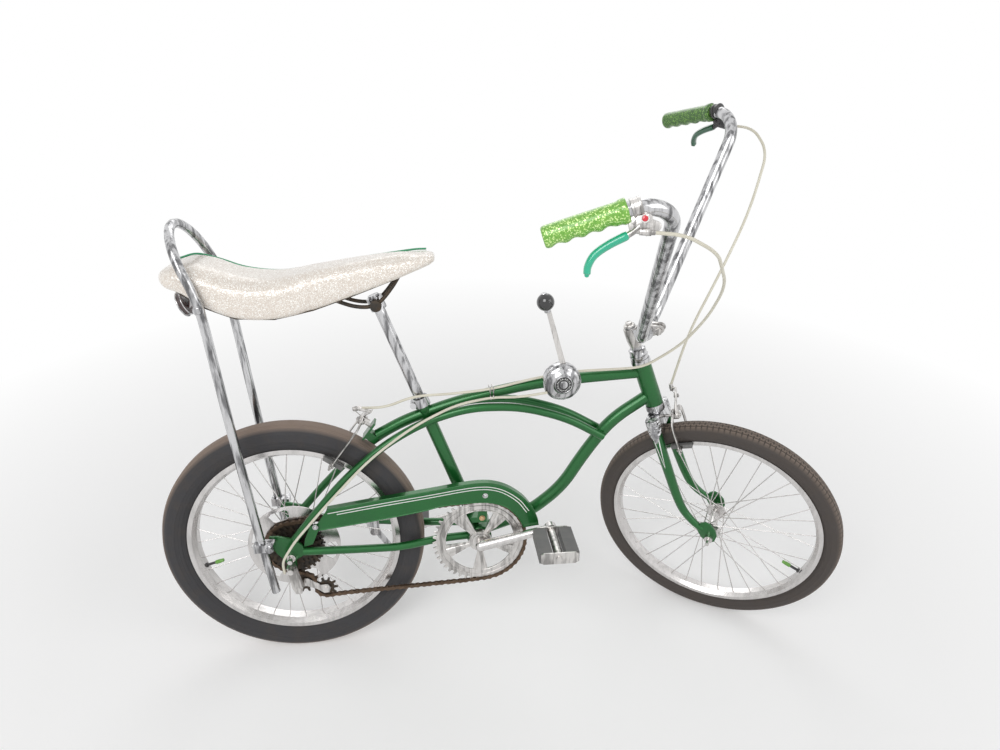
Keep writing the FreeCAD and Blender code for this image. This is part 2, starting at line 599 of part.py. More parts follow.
# Chain guard: a flat face with a folded top edge, and its two brackets
guard_y = -54.0
GUARD_TOP = [(73, 94), (274, 123), (344, 134), (383, 135), (422, 123), (465, 89), (484, 60), (489, 34)]
GUARD_LOW = [(459, 29), (450, 50), (424, 80), (395, 91), (358, 93), (298, 89), (253, 78), (95, 55), (40, 48)]
face = plate(GUARD_TOP + GUARD_LOW, guard_y, guard_y - 2)
fold = plate(GUARD_TOP + [(x - 2, z - 3) for x, z in reversed(GUARD_TOP)], guard_y, guard_y + 13)
solid_node("chain_guard", joined(face, fold))
back_bracket = plate([(24, 16), (42, 22), (56, 54), (52, 66), (40, 62), (28, 34)], -60, -56)
back_bracket = back_bracket.cut([drop_right, stay])
front_tab = plate([(366, 36), (386, 36), (390, 118), (376, 118)], -39, -36.5)
front_arm = plate([(342, 36), (386, 36), (386, 48), (342, 48)], -39, -4).cut(seat_solid)
front_arm = max(front_arm.Solids, key=lambda part: part.Volume)
solid_node("guard_brackets", Part.makeCompound([back_bracket, joined(front_tab, front_arm)]))

# Stick shifter on the top tube
shift_x, shift_z = 534, 331
shifter = Part.Face(Part.makePolygon([Vector(r, y, 0) for r, y in (
    (0, -12), (36, -12), (36, -24), (31, -33), (18, -37), (18, -41), (0, -41), (0, -12))])).revolve(ORIGIN, Y_AXIS, 360)
shifter.translate(at(shift_x, 0, shift_z))
strap = pipe(at(shift_x - 10, 0, 323.6), at(shift_x + 10, 0, 325.4), 14, 11.15)
shifter = shifter.fuse(strap).cut([top_solid, rod(at(500, 0, 320.2), at(568, 0, 328), 11.15)])
solid_node("shifter_housing", max(shifter.Solids, key=lambda part: part.Volume))
stick = plate([(528, 368.5), (540, 367.5), (507, 478), (498, 478)], -22, -25)
knob = Part.makeSphere(15, at(498, -23.5, 489))
solid_node("shifter_stick", joined(stick, knob))

# Crank: one bent forging, its two arms opposite
crank_turn = math.radians(num("crank_angle"))
crank_way = Vector(math.cos(crank_turn), 0, math.sin(crank_turn))
arm_plane = num("arm_plane")
crank_end = num("crank_length")


def crank_arm(way, plane):
    eye = CRANK + way * crank_end + Y_AXIS * plane
    return [rod(CRANK + Y_AXIS * plane * 0.5, CRANK + Y_AXIS * plane, 9),
            Part.makeSphere(11, CRANK + Y_AXIS * plane),
            Part.makeCone(11, 8, crank_end, CRANK + Y_AXIS * plane, way),
            rod(eye - Y_AXIS * 7, eye + Y_AXIS * 7, 12)]


crank = joined(rod(CRANK + Y_AXIS * arm_plane, CRANK - Y_AXIS * arm_plane, 9), *crank_arm(crank_way, arm_plane),
               *crank_arm(-crank_way, -arm_plane))
pedal_bores = []
for way, plane in ((crank_way, arm_plane), (-crank_way, -arm_plane)):
    eye = CRANK + way * crank_end + Y_AXIS * plane
    pedal_bores.append(rod(eye - Y_AXIS * 20, eye + Y_AXIS * 20, num("pedal_pin") + 0.05))
crank = crank.cut(pedal_bores)
ring_centre = CRANK + Y_AXIS * num("ring_plane")
ring_teeth = int(num("ring_teeth"))
ring = sprocket(ring_teeth, ring_centre, num("tooth_wall"), 9.05)
windows = []
for turn in range(5):
    window = plate([(33, -14), (40, -20), (70, -27), (79, -20), (82, 0), (79, 20), (70, 27), (40, 20), (33, 14)], -60, -20)
    window.rotate(ORIGIN, Y_AXIS, turn * 72 - num("crank_angle"))
    window.translate(at(CRANK.x, 0, CRANK.z))
    windows.append(window)
ring_hub = pipe(ring_centre + Y_AXIS * 1, ring_centre - Y_AXIS * 9.05, 19, 9.05)
hub_bore = rod(ring_centre - Y_AXIS * 99, ring_centre + Y_AXIS * 99, 9.05)
solid_node("chainring", joined(ring.cut(windows), ring_hub).cut(crank))
solid_node("crank", crank)

for label, way, sign in (("right", crank_way, -1), ("left", -crank_way, 1)):
    eye = CRANK + way * crank_end + Y_AXIS * (sign * 66)
    start, end = 9, 9 + num("pedal_length")
    axle_rod = rod(eye - Y_AXIS * sign * 6, eye + Y_AXIS * sign * end, num("pedal_pin"))
    barrel = rod(eye + Y_AXIS * sign * start, eye + Y_AXIS * sign * (end - 2), 9)
    ends = []
    for along in (start + 2, end - 5):
        cap = plate([(-36, -9), (-30, -12), (30, -12), (36, -9), (36, 9), (30, 12), (-30, 12), (-36, 9)], 0, sign * 3)
        cap.translate(eye + Y_AXIS * sign * along)
        ends.append(cap)
    solid_node(f"pedal_{label}", joined(axle_rod, barrel, *ends))
    blocks = []
    for front in (1, -1):
        block = plate([(front * 13, -11), (front * 38, -11), (front * 38, 11), (front * 13, 11)], 0,
                      sign * (end - start - 10.6))
        block.translate(eye + Y_AXIS * sign * (start + 5.3))
        blocks.append(block)
    solid_node(f"pedal_{label}_blocks", Part.makeCompound(blocks))

# Freewheel: five sprockets on one body that turns on the axle
COG_TEETH = (28, 24, 20, 17, 14)
cog_shapes = []
for place_in_row, teeth in enumerate(COG_TEETH):
    y = num("cog_plane") - place_in_row * num("cog_step")
    cog_shapes.append(sprocket(teeth, at(0, y, 0), num("tooth_wall"), 14))
carrier = pipe(at(0, -31, 0), at(0, num("cog_plane") - 4 * num("cog_step") - 1.5, 0), 20, 5.1)
solid_node("freewheel", joined(carrier, *cog_shapes))


# Chain
class Wrap:
    """A circle that the chain bends around; turn is 1 on the inside of the loop and -1 outside it."""

    def __init__(self, x, z, radius, plane, turn):
        self.centre, self.radius, self.plane, self.turn = Vector(float(x), 0, float(z)), radius, plane, turn


def tangent(first, last, lift):
    """Ends of the run from one wrap to the next, on a line lifted off the pitch line."""
    way = last.centre - first.centre
    r1, r2 = first.radius + first.turn * lift, last.radius + last.turn * lift
    slope = math.atan2(way.z, way.x) - math.asin((last.turn * r2 - first.turn * r1) / way.Length)
    left = Vector(-math.sin(slope), 0, math.cos(slope))
    return first.centre - left * (first.turn * r1), last.centre - left * (last.turn * r2)


cog_y = num("cog_plane")
WRAPS = [
    Wrap(CRANK.x, CRANK.z, pitch_radius(ring_teeth), num("ring_plane"), 1),
    Wrap(0, 0, pitch_radius(COG_TEETH[0]), cog_y, 1),
    Wrap(num("guide_x"), num("guide_z"), pitch_radius(10), cog_y, -1),
    Wrap(num("tension_x"), num("tension_z"), pitch_radius(10), cog_y, 1),
]


def wrap_band(before, wrap, after):
    """One side plate bent round a wrap, between the ends of its two runs."""
    height = num("plate_half")
    _, low_in = tangent(before, wrap, -height)
    _, high_in = tangent(before, wrap, height)
    low_out, _ = tangent(wrap, after, -height)
    high_out, _ = tangent(wrap, after, height)

    def middle(start, end, radius):
        a = math.atan2(start.z - wrap.centre.z, start.x - wrap.centre.x)
        b = math.atan2(end.z - wrap.centre.z, end.x - wrap.centre.x)
        span = (b - a) % (2 * math.pi) if wrap.turn > 0 else -((a - b) % (2 * math.pi))
        return wrap.centre + Vector(math.cos(a + span / 2), 0, math.sin(a + span / 2)) * radius

    edges = [Part.Arc(low_in, middle(low_in, low_out, wrap.radius - wrap.turn * height), low_out).toShape(),
             Part.LineSegment(low_out, high_out).toShape(),
             Part.Arc(high_out, middle(high_in, high_out, wrap.radius + wrap.turn * height), high_in).toShape(),
             Part.LineSegment(high_in, low_in).toShape()]
    return Part.Face(Part.Wire(edges))


bands = []
inner_y, outer_y = num("plate_gap") / 2, num("plate_gap") / 2 + num("plate_wall")
height = num("plate_half")
for index, wrap in enumerate(WRAPS):
    before, after = WRAPS[index - 1], WRAPS[(index + 1) % len(WRAPS)]
    band = wrap_band(before, wrap, after)
    for side_sign in (1, -1):
        plate_band = band.extrude(Y_AXIS * side_sign * num("plate_wall"))
        plate_band.translate(Y_AXIS * (wrap.plane + side_sign * inner_y))
        bands.append(plate_band)
    start, end = tangent(wrap, after, 0)
    start, end = start + Y_AXIS * wrap.plane, end + Y_AXIS * after.plane
    run = end - start
    low, _ = tangent(wrap, after, -height)
    high, _ = tangent(wrap, after, height)
    level = Vector(run.x, 0, run.z)
    level.normalize()
    flat = min(45.0, run.Length / 3)
    mid_start, mid_end = start + level * flat, end - level * flat
    middle_run = mid_end - mid_start
    for side_sign in (1, -1):
        near = Y_AXIS * (wrap.plane + side_sign * inner_y)
        far = Y_AXIS * (wrap.plane + side_sign * outer_y)
        end_face = Part.Face(Part.makePolygon([low + near, high + near, high + far, low + far, low + near]))
        bands.append(end_face.extrude(level * flat))
        middle_face = end_face.copy()
        middle_face.translate(level * flat)
        bands.append(middle_face.extrude(middle_run))
        last_face = middle_face.copy()
        last_face.translate(middle_run)
        bands.append(last_face.extrude(level * flat))
    count = int(middle_run.Length / num("chain_pitch"))
    for step in range(count + 1 if run.Length > 100 else 0):
        place = mid_start + middle_run * (step / count)
        bands.append(rod(place - Y_AXIS * outer_y * 0.9, place + Y_AXIS * outer_y * 0.9, 3))
chain = bands[0].fuse(bands[1:]).removeSplitter()
solid_node("chain", Part.makeCompound(chain.Solids))

# Derailleur: hanger bolt, link body and cage, with its two pulleys
pulleys = [sprocket(10, at(x, cog_y, z), num("tooth_wall"), 3.1) for x, z in
           ((num("guide_x"), num("guide_z")), (num("tension_x"), num("tension_z")))]
solid_node("jockey_wheels", Part.makeCompound(pulleys))
cage = [(4, -93), (6, -74), (20, -74), (44, -92), (58, -91), (64, -100), (60, -111), (50, -112), (36, -101), (16, -92)]
outer_cage = plate(cage, cog_y - 3.2, cog_y - 4.8)
inner_cage = plate(cage, cog_y + 2.9, cog_y + 4.1)
pins = [rod(at(x, cog_y + 4.1, z), at(x, cog_y - 7, z), 3) for x, z in
        ((num("guide_x"), num("guide_z")), (num("tension_x"), num("tension_z")))]
knuckle = rod(at(10, cog_y - 4.8, -80), at(10, -88, -66), 6)
link = plate([(-8, -14), (8, -14), (18, -60), (16, -74), (4, -74), (-2, -60)], -74, -86)
bolt = rod(at(0, -rear_outer, -19), at(0, -92, -19), 6)
derailleur = joined(outer_cage, inner_cage, *pins, knuckle, link, bolt)
solid_node("rear_derailleur", max(derailleur.Solids, key=lambda part: part.Volume))

# Side stand: a clamp on the left chainstay, and the leg on its pivot
pivot = at(num("stand_pivot_x"), num("stand_pivot_y"), num("stand_pivot_z"))
turn_rows = PARKED.Rotation
foot_radius = num("foot_radius")
level = turn_rows.multVec(at(num("foot_x"), num("foot_y"), 0)).z + PARKED.Base.z
foot = at(num("foot_x"), num("foot_y"), (foot_radius - level) / turn_rows.multVec(Z_AXIS).z)
leg_way = foot - pivot
FOLDED = Vector(-0.90, 0.20, -0.38)
FOLDED.normalize()
leg_unit = Vector(leg_way)
leg_unit.normalize()
split = leg_unit - FOLDED
split.normalize()
stand_axis = Y_AXIS - split * Y_AXIS.dot(split)
stand_axis.normalize()
head_out = pivot + stand_axis * 0
leg = joined(rod(pivot - stand_axis * 8, pivot + stand_axis * 8, 11), rod(pivot, foot, num("stand_radius")),
             Part.makeSphere(foot_radius, foot))
leg = leg.cut(rod(pivot - stand_axis * 20, pivot + stand_axis * 20, 5.05))
solid_node("kickstand", leg)
clamp_at = at(num("stand_pivot_x"), 0, 0)
stand_pin = rod(pivot - stand_axis * 14, pivot + stand_axis * 11, 5)
ears = [rod(pivot - stand_axis * 14, pivot - stand_axis * 8.3, 11)]
left_stay = mirrored(chainstay)
block = Part.makeBox(26, 22, 26, Vector(num("stand_pivot_x") - 13, 40, -14))
clamp = joined(block, stand_pin, *ears).cut([left_stay, rod(pivot - stand_axis * 8.15, pivot + stand_axis * 8.15, 11.6).cut(
    rod(pivot - stand_axis * 20, pivot + stand_axis * 20, 5))])
solid_node("stand_clamp", max(clamp.Solids, key=lambda part: part.Volume))

# Fork, steerer and front dropouts
blade_half = num("blade_half")
front_inner, front_outer = num("front_drop_half"), num("front_drop_half") + num("drop_wall")
crown_low, crown_top = num("crown_low"), num("crown_top")
steerer = pipe(on_head(crown_low + 2), on_head(nut_start + 15.8), num("steerer_radius"), 11.15)
crown_box = Part.makeBox(26, 2 * blade_half, crown_top - crown_low, Vector(-13, -blade_half, 0))
crown_box.Placement = Placement(on_head(crown_low), Rotation(HEAD_FRONT, Y_AXIS, HEAD_DIR, "XZY"))
crown_ends = [rod(on_head(crown_low, 0, s * blade_half), on_head(crown_top, 0, s * blade_half), 13) for s in (1, -1)]
race = rod(on_head(crown_top), on_head(num("head_start") - num("cup_length") - 0.3), 17)
fork_body = joined(crown_box, *crown_ends, race).cut(rod(on_head(0), on_head(700), 11.15))
bolt_hole = rod(on_head(272, -40), on_head(272, 40), 3.05)
fork_body = joined(fork_body, steerer).cut(bolt_hole)
tip_front = num("fork_offset")
FRONT_TIP = [(-26, 14), (-18, 34), (-2, 32), (12, 18), (14, 8), (12, -8), (0, -14), (-10, -8)]
tips = dropout_plate([(x, z) for x, z in FRONT_TIP], -front_inner, -front_outer, ORIGIN, num("front_axle_radius") + 0.1)
tips.translate(FRONT_AXLE)
blade_points = [on_head(crown_low + 4, 0, -blade_half), on_head(150, 0, -39), on_head(70, 5, -44), on_head(20, 34, -50.5)]
blade = tube(blade_points, num("blade_radius") - 1.5).cut([tips, fork_body])
blade = max(blade.Solids, key=lambda part: part.Volume)
solid_node("fork_crown", fork_body, "steering")
blade = joined(blade, tips)
solid_node("fork_blades", Part.makeCompound([blade, mirrored(blade)]), "steering")

# Stem, bar, grips and levers
bar_along, bar_front = num("bar_rise_s"), num("bar_reach")
bar_centre = on_head(bar_along, bar_front)
quill = rod(on_head(345), on_head(num("stem_top")), num("stem_radius"))
reach_block = Part.makeBox(bar_front, 22, 20, Vector(0, -11, -12))
reach_block.Placement = Placement(on_head(bar_along), Rotation(HEAD_FRONT, Y_AXIS, HEAD_DIR, "XZY"))
stem_clamp = rod(bar_centre - Y_AXIS * 15, bar_centre + Y_AXIS * 15, 16)
bar_half = [at(628, -345, 733), at(785, -268, 786), at(bar_centre.x, -50, bar_centre.z)]
bar_points = bar_half + [at(p.x, -p.y, p.z) for p in reversed(bar_half)]
bar = tube(bar_points, S.bar_radius, largest=60.0)
solid_node("handlebar", bar, "steering")
stem = joined(quill, reach_block, stem_clamp).cut(rod(bar_centre - Y_AXIS * 40, bar_centre + Y_AXIS * 40, num("bar_radius") + 0.02))
solid_node("stem", stem, "steering")
grip_way = bar_half[1] - bar_half[0]
grip_way.normalize()
grip = rod(bar_half[0] - grip_way * 3, bar_half[0] + grip_way * 112, num("grip_radius")).cut(
    rod(bar_half[0], bar_half[0] + grip_way * 200, num("bar_radius") + 0.02))
solid_node("grips", Part.makeCompound([grip, mirrored(grip)]), "steering")
perch = bar_half[0] + grip_way * 124
lever_ring = rod(perch - grip_way * 8, perch + grip_way * 8, 15)
lever_start = at(742, -326, 741)
lever_end = at(676, -345, 700)
lever_body = rod(perch, at(750, -312, 735), 11).fuse(tube([at(750, -312, 735), lever_start, lever_end], 5.5))
grip_zone = rod(bar_half[0] - grip_way * 4, bar_half[0] + grip_way * 112.4, num("grip_radius") + 0.3)
lever = lever_ring.fuse(lever_body).cut([tube(bar_points, num("bar_radius") + 0.02, largest=60.0), grip_zone])
lever = max(lever.Solids, key=lambda part: part.Volume)
solid_node("brake_levers", Part.makeCompound([lever, mirrored(lever)]), "steering")


# Cables: each keeps to its own route, held by the levers, the clips and the brakes
CABLE_RADIUS = 2.5
steered = STEER.multVec
rear_cable_points = [
    steered(at(758.0, -302.4, 741.5)), steered(at(800, -288, 738)), steered(at(838, -240, 700)),
    at(752, -215, 560), at(768, -120, 480), at(748, -62, 410), at(690, -30, 357), at(640, -12, 348),
    at(560, -8, 345.5), at(480, -9, 334), at(400, -14.5, 317), at(320, -15.5, 311), at(250, -15, 309),
    at(196, -24, 292), at(150, -40, 300)]
rear_cable = tube(rear_cable_points, CABLE_RADIUS)
solid_node("rear_brake_cable", rear_cable)
front_cable_points = [at(757.2, 302.6, 742), at(806, 284, 744), at(842, 240, 715), at(834, 170, 620), at(806, 105, 520),
                      at(770, 55, 410), on_head(321.2, 30.7, 36.5)]
front_cable = tube(front_cable_points, CABLE_RADIUS)
solid_node("front_brake_cable", front_cable, "steering")
shift_cable_points = [at(505, -30, 312), at(452, -26, 303), at(400, -17, 301), at(330, -25, 292), at(250, -36, 257),
                      at(160, -46, 194), at(75, -66, 110), at(10, -80, 40), at(-14, -86, 2), at(-12, -86, -24)]
shift_cable = tube(shift_cable_points, CABLE_RADIUS)
solid_node("shift_cable", shift_cable)


def finish():
    """Move everything so that the origin is under the middle of the whole, check it and write it."""
    doc.recompute()
    whole = FreeCAD.BoundBox()
    for item in nodes:
        whole.add(item.Shape.optimalBoundingBox(True, False))
    shift = Placement(Vector(-whole.Center.x, -whole.Center.y, -whole.ZMin), Rotation())
    for item in nodes:
        item.Placement = shift * item.Placement
    doc.recompute()
    for item in doc.Objects:
        if "Invalid" in item.State or "Error" in item.State:
            raise RuntimeError(f"{item.Name} failed: {item.State}")
    for item in nodes:
        if item.Shape.isNull() or not item.Shape.isValid() or not item.Shape.Solids:
            raise RuntimeError(f"{item.Label} has no valid solid")
    os.makedirs("parts", exist_ok=True)
    for item in nodes:
        item.Shape.exportStep(f"parts/{item.Label}.step")
    return shift


SHIFT = finish()
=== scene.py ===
"""Looks of a parked chopper bicycle: finishes for its CAD pieces and the modelled pieces on them.

Pieces are drawn in millimetres in the frame of the upright bicycle, whose origin is the rear axle
with +X to the front axle, +Y to the rider's left and +Z up. They are then scaled to metres and
moved to where the bicycle parks.
"""
from __future__ import annotations

import json
import logging
import math
from dataclasses import dataclass, field
from enum import Enum
from typing import Sequence

import bmesh
import bpy
from mathutils import Matrix, Vector

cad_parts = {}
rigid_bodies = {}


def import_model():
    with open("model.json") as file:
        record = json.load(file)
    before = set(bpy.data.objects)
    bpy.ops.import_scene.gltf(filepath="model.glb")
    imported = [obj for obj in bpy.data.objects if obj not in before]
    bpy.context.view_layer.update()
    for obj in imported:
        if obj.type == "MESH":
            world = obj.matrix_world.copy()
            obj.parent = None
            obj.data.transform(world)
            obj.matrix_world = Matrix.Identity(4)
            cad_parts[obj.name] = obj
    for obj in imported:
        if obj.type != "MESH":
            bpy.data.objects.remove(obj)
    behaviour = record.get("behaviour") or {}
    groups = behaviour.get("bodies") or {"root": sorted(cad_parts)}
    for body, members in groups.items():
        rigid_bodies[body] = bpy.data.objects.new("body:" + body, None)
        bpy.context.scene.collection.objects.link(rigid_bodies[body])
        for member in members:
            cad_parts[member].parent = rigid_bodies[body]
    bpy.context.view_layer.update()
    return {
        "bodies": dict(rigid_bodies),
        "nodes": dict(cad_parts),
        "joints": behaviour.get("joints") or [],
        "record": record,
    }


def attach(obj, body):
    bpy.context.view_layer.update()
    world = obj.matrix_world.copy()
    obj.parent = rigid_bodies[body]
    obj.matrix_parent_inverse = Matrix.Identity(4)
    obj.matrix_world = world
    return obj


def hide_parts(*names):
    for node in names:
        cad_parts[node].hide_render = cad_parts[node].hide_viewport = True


LOG = logging.getLogger("chopper")
Triple = tuple[float, float, float]
WHITE: Triple = (1.0, 1.0, 1.0)
MM = 0.001
CHAIN_PITCH = 12.7
TUBE_SIDES = 24


# where the bicycle stands
@dataclass(frozen=True)
class Parking:
    """Where the upright bicycle's frame, and its turned steering, stand in the row's frame."""

    lean: float = 8.0
    pitch: float = 0.5756412
    place: Triple = (-0.4171613, -0.0439474, 0.2576694)
    steer: float = -33.0
    head_foot: Triple = (0.8380553, 0.0, -0.0164849)
    head_way: Triple = (-0.35836795, 0.0, 0.93358043)
    wheelbase: float = 0.881

    @property
    def frame(self) -> Matrix:
        """The matrix from the upright frame to the row's frame."""
        turn = Matrix.Rotation(math.radians(-self.lean), 4, "X")
        return Matrix.Translation(self.place) @ turn @ Matrix.Rotation(math.radians(self.pitch), 4, "Y")

    @property
    def steering(self) -> Matrix:
        """The matrix for pieces that turn with the fork."""
        foot = Vector(self.head_foot)
        turn = Matrix.Rotation(math.radians(self.steer), 4, Vector(self.head_way))
        return self.frame @ Matrix.Translation(foot) @ turn @ Matrix.Translation(-foot)

    @property
    def front_wheel(self) -> Matrix:
        """The matrix from the front axle's own frame."""
        return self.steering @ Matrix.Translation((self.wheelbase, 0, 0))


PARKING = Parking()


# shader expressions
class Sock:
    """A socket in an expression: its operators add Math nodes."""

    def __init__(self, tree: "ShaderTree", socket: bpy.types.NodeSocket) -> None:
        """Keep the tree and the socket."""
        self.tree, self.socket = tree, socket

    def _math(self, kind: str, *values: object) -> "Sock":
        """One Math node on these values."""
        return self.tree.node("ShaderNodeMath", {"operation": kind}, dict(enumerate(values)))

    def __add__(self, other: object) -> "Sock":
        """Sum."""
        return self._math("ADD", self, other)

    __radd__ = __add__

    def __sub__(self, other: object) -> "Sock":
        """Difference."""
        return self._math("SUBTRACT", self, other)

    def __rsub__(self, other: object) -> "Sock":
        """Difference from a number."""
        return self._math("SUBTRACT", other, self)

    def __mul__(self, other: object) -> "Sock":
        """Product."""
        return self._math("MULTIPLY", self, other)

    __rmul__ = __mul__

    def most(self, other: object) -> "Sock":
        """The larger of two values."""
        return self._math("MAXIMUM", self, other)

    def above(self, limit: float, soft: float = 0.0) -> "Sock":
        """One over the limit and nought under it, with a ramp of a width round the limit.

        Args:
            limit: The value where it switches.
            soft: The width of the ramp, or nought for a sharp switch.

        Returns:
            The share, from nought to one.
        """
        if soft <= 0:
            return self._math("GREATER_THAN", self, limit)
        return self.tree.node("ShaderNodeMapRange", {"clamp": True}, {
            "Value": self, "From Min": limit - soft / 2, "From Max": limit + soft / 2})

    def below(self, limit: float, soft: float = 0.0) -> "Sock":
        """One under the limit and nought over it."""
        return 1.0 - self.above(limit, soft)

    def within(self, low: float, high: float, soft: float = 0.0) -> "Sock":
        """One between two limits."""
        return self.above(low, soft) * self.below(high, soft)

    def absolute(self) -> "Sock":
        """Size without sign."""
        return self._math("ABSOLUTE", self)

    def wave(self, period: float) -> "Sock":
        """A triangle wave from nought to one with a period."""
        return self._math("PINGPONG", self, period / 2) * (2.0 / period)

    def power(self, exponent: float) -> "Sock":
        """Power."""
        return self._math("POWER", self, exponent)

    def clamp(self) -> "Sock":
        """Kept between nought and one."""
        return self.tree.node("ShaderNodeClamp", {}, {"Value": self})


class ShaderTree:
    """The node tree of one material or world, built by expressions."""

    def __init__(self, name: str, world: bool = False) -> None:
        """Make an empty material or world of a name."""
        self.owner = (bpy.data.worlds if world else bpy.data.materials).new(name)
        self.owner.use_nodes = True
        self.tree = self.owner.node_tree
        self.tree.nodes.clear()
        self.output = self.tree.nodes.new("ShaderNodeOutputWorld" if world else "ShaderNodeOutputMaterial")

    def node(self, kind: str, settings: dict, values: dict, out: object = 0) -> Sock:
        """Add a node.

        Args:
            kind: The node's type.
            settings: Properties that are set first.
            values: Socket name or number to a value, a colour or a Sock.
            out: The output that the result stands for.

        Returns:
            The chosen output.
        """
        made = self.tree.nodes.new(kind)
        for key, value in settings.items():
            setattr(made, key, value)
        for key, value in values.items():
            socket = made.inputs[key]
            if isinstance(value, Sock):
                self.tree.links.new(value.socket, socket)
            else:
                socket.default_value = (*value, 1.0) if socket.type == "RGBA" else value
        return Sock(self, made.outputs[out])

    def place(self, frame: Matrix | None = None) -> Sock:
        """Object coordinates, as seen from a frame if one is given.

        Args:
            frame: The frame to see them from, or None for the row's.

        Returns:
            The coordinates.
        """
        here = self.node("ShaderNodeTexCoord", {}, {}, "Object")
        if frame is None:
            return here
        back = frame.inverted()
        return self.node("ShaderNodeMapping", {}, {
            "Vector": here, "Location": tuple(back.translation), "Rotation": tuple(back.to_euler("XYZ"))})

    def split(self, vector: Sock) -> tuple[Sock, ...]:
        """The three parts of a vector or a colour."""
        made = self.node("ShaderNodeSeparateXYZ", {}, {0: vector}).socket.node
        return tuple(Sock(self, out) for out in made.outputs)

    def noise(self, where: Sock, scale: float, detail: float = 3.0, rough: float = 0.5) -> Sock:
        """Fractal noise from nought to one."""
        return self.node("ShaderNodeTexNoise", {}, {
            "Vector": where, "Scale": scale, "Detail": detail, "Roughness": rough}, "Fac")

    def cells(self, where: Sock, scale: float, out: str = "Distance") -> Sock:
        """Voronoi cells: the distance to a cell's point, or its random colour."""
        return self.node("ShaderNodeTexVoronoi", {}, {"Vector": where, "Scale": scale}, out)

    def mix(self, share: object, first: object, second: object) -> Sock:
        """Mix of two colours by a share."""
        return self.node("ShaderNodeMix", {"data_type": "RGBA", "clamp_factor": True},
                         {0: share, 6: first, 7: second}, 2)

    def bump(self, height: Sock, strength: float, distance: float, under: Sock | None = None) -> Sock:
        """A Bump node for the Normal socket, over another one if it is given.

        Args:
            height: The height that is felt.
            strength: The share of the effect.
            distance: The depth in metres.
            under: A Bump node below this one.

        Returns:
            The normal.
        """
        values = {"Height": height, "Strength": strength, "Distance": distance}
        return self.node("ShaderNodeBump", {}, values if under is None else {**values, "Normal": under})

    def close(self, shader: Sock) -> bpy.types.ID:
        """Link the last shader to the output, and hand the material or world back."""
        self.tree.links.new(shader.socket, self.output.inputs["Surface"])
        return self.owner

    def surface(self, **values: object) -> bpy.types.ID:
        """Close the tree with a Principled shader whose sockets take these values."""
        named = {key.replace("_", " "): value for key, value in values.items()}
        return self.close(self.node("ShaderNodeBsdfPrincipled", {}, named))


class Axes(Enum):
    """The frame that a finish is laid out in."""

    ROW = "row"
    FRAME = "frame"
    STEERING = "steering"
    FRONT_WHEEL = "front wheel"

    @property
    def matrix(self) -> Matrix | None:
        """The frame's matrix, or None for the row's own."""
        return {"row": None, "frame": PARKING.frame, "steering": PARKING.steering,
                "front wheel": PARKING.front_wheel}[self.value]


# finishes
@dataclass(frozen=True)
class CandyPaint:
    """Transparent colour over a bright metallic base, with fine flake and a clear coat."""

    name: str = "candy_green"
    colour: Triple = (0.01, 0.185, 0.028)
    deep: Triple = (0.003, 0.06, 0.014)
    flake: float = 2600.0
    roughness: float = 0.3

    def build(self) -> bpy.types.Material:
        """Make the material.

        Returns:
            The material.
        """
        s = ShaderTree(self.name)
        here = s.place()
        flakes = s.split(s.cells(here, self.flake, "Color"))[0]
        cloud = s.noise(here, 9.0, 2.0)
        scuff = s.noise(here, 160.0, 4.0, 0.65).above(0.66, 0.12)
        colour = s.mix((cloud * 0.5 + flakes * 0.4).clamp(), self.deep, self.colour)
        colour = s.mix(scuff * 0.22, colour, (0.05, 0.2, 0.09))
        return s.surface(
            Base_Color=colour, Metallic=0.55, Roughness=self.roughness + flakes * 0.1 + scuff * 0.12,
            Coat_Weight=0.55 - scuff * 0.3, Coat_Roughness=0.05,
            Normal=s.bump(flakes, 0.06, 0.0004))


@dataclass(frozen=True)
class Plating:
    """Bright plated or polished metal with faint dulling and pits, and long dark streaks that are a painted
    reflection.
    """

    name: str = "chrome"
    colour: Triple = (0.62, 0.62, 0.63)
    dull_and_painted_reflection: Triple = (0.13, 0.13, 0.135)
    roughness: float = 0.12
    wear_and_painted_reflection: float = 0.2
    relief: float = 0.0
    painted_reflection_streak: float = 0.85

    def build(self) -> bpy.types.Material:
        """Make the material.

        Returns:
            The material.
        """
        s = ShaderTree(self.name)
        here = s.place()
        long = s.node("ShaderNodeMapping", {}, {"Vector": here, "Scale": (110.0, 110.0, 3.0)})
        haze = s.noise(here, 26.0, 4.0, 0.6)
        painted_reflection_streak = s.noise(long, 1.0, 3.0, 0.6)
        pits = s.cells(here, 900.0).below(0.12, 0.08) * haze.above(0.56, 0.1)
        # The long streaks are a painted reflection: they darken the colour in bands along the metal. The haze
        # dulling and the pits are wear.
        wear_and_painted_reflection = haze.above(0.58, 0.3) * self.wear_and_painted_reflection + painted_reflection_streak.above(0.53, 0.16) * self.painted_reflection_streak + pits * 0.5
        height = haze if not self.relief else s.cells(here, 150.0) * 1.5 + s.noise(here, 90.0, 4.0, 0.6)
        depth = (0.9, 0.0022) if self.relief else (0.04, 0.0005)
        return s.surface(Base_Color=s.mix(wear_and_painted_reflection.clamp(), self.colour, self.dull_and_painted_reflection), Metallic=1.0,
                         Roughness=self.roughness + haze * 0.1 + pits * 0.25, Normal=s.bump(height, *depth))


@dataclass(frozen=True)
class SatinMetal:
    """Plain steel or alloy with patches of dirt."""

    name: str = "dark_steel"
    colour: Triple = (0.05, 0.048, 0.045)
    grime: Triple = (0.1, 0.07, 0.045)
    roughness: float = 0.42
    metallic: float = 0.85
    grain: float = 420.0

    def build(self) -> bpy.types.Material:
        """Make the material.

        Returns:
            The material.
        """
        s = ShaderTree(self.name)
        here = s.place()
        spots = s.noise(here, 60.0, 4.0, 0.65)
        fine = s.noise(here, self.grain, 3.0, 0.7)
        colour = s.mix(spots.above(0.48, 0.3) * 0.7, self.colour, self.grime)
        return s.surface(Base_Color=colour, Metallic=self.metallic,
                         Roughness=self.roughness + fine * 0.25,
                         Normal=s.bump(fine, 0.15, 0.0003))


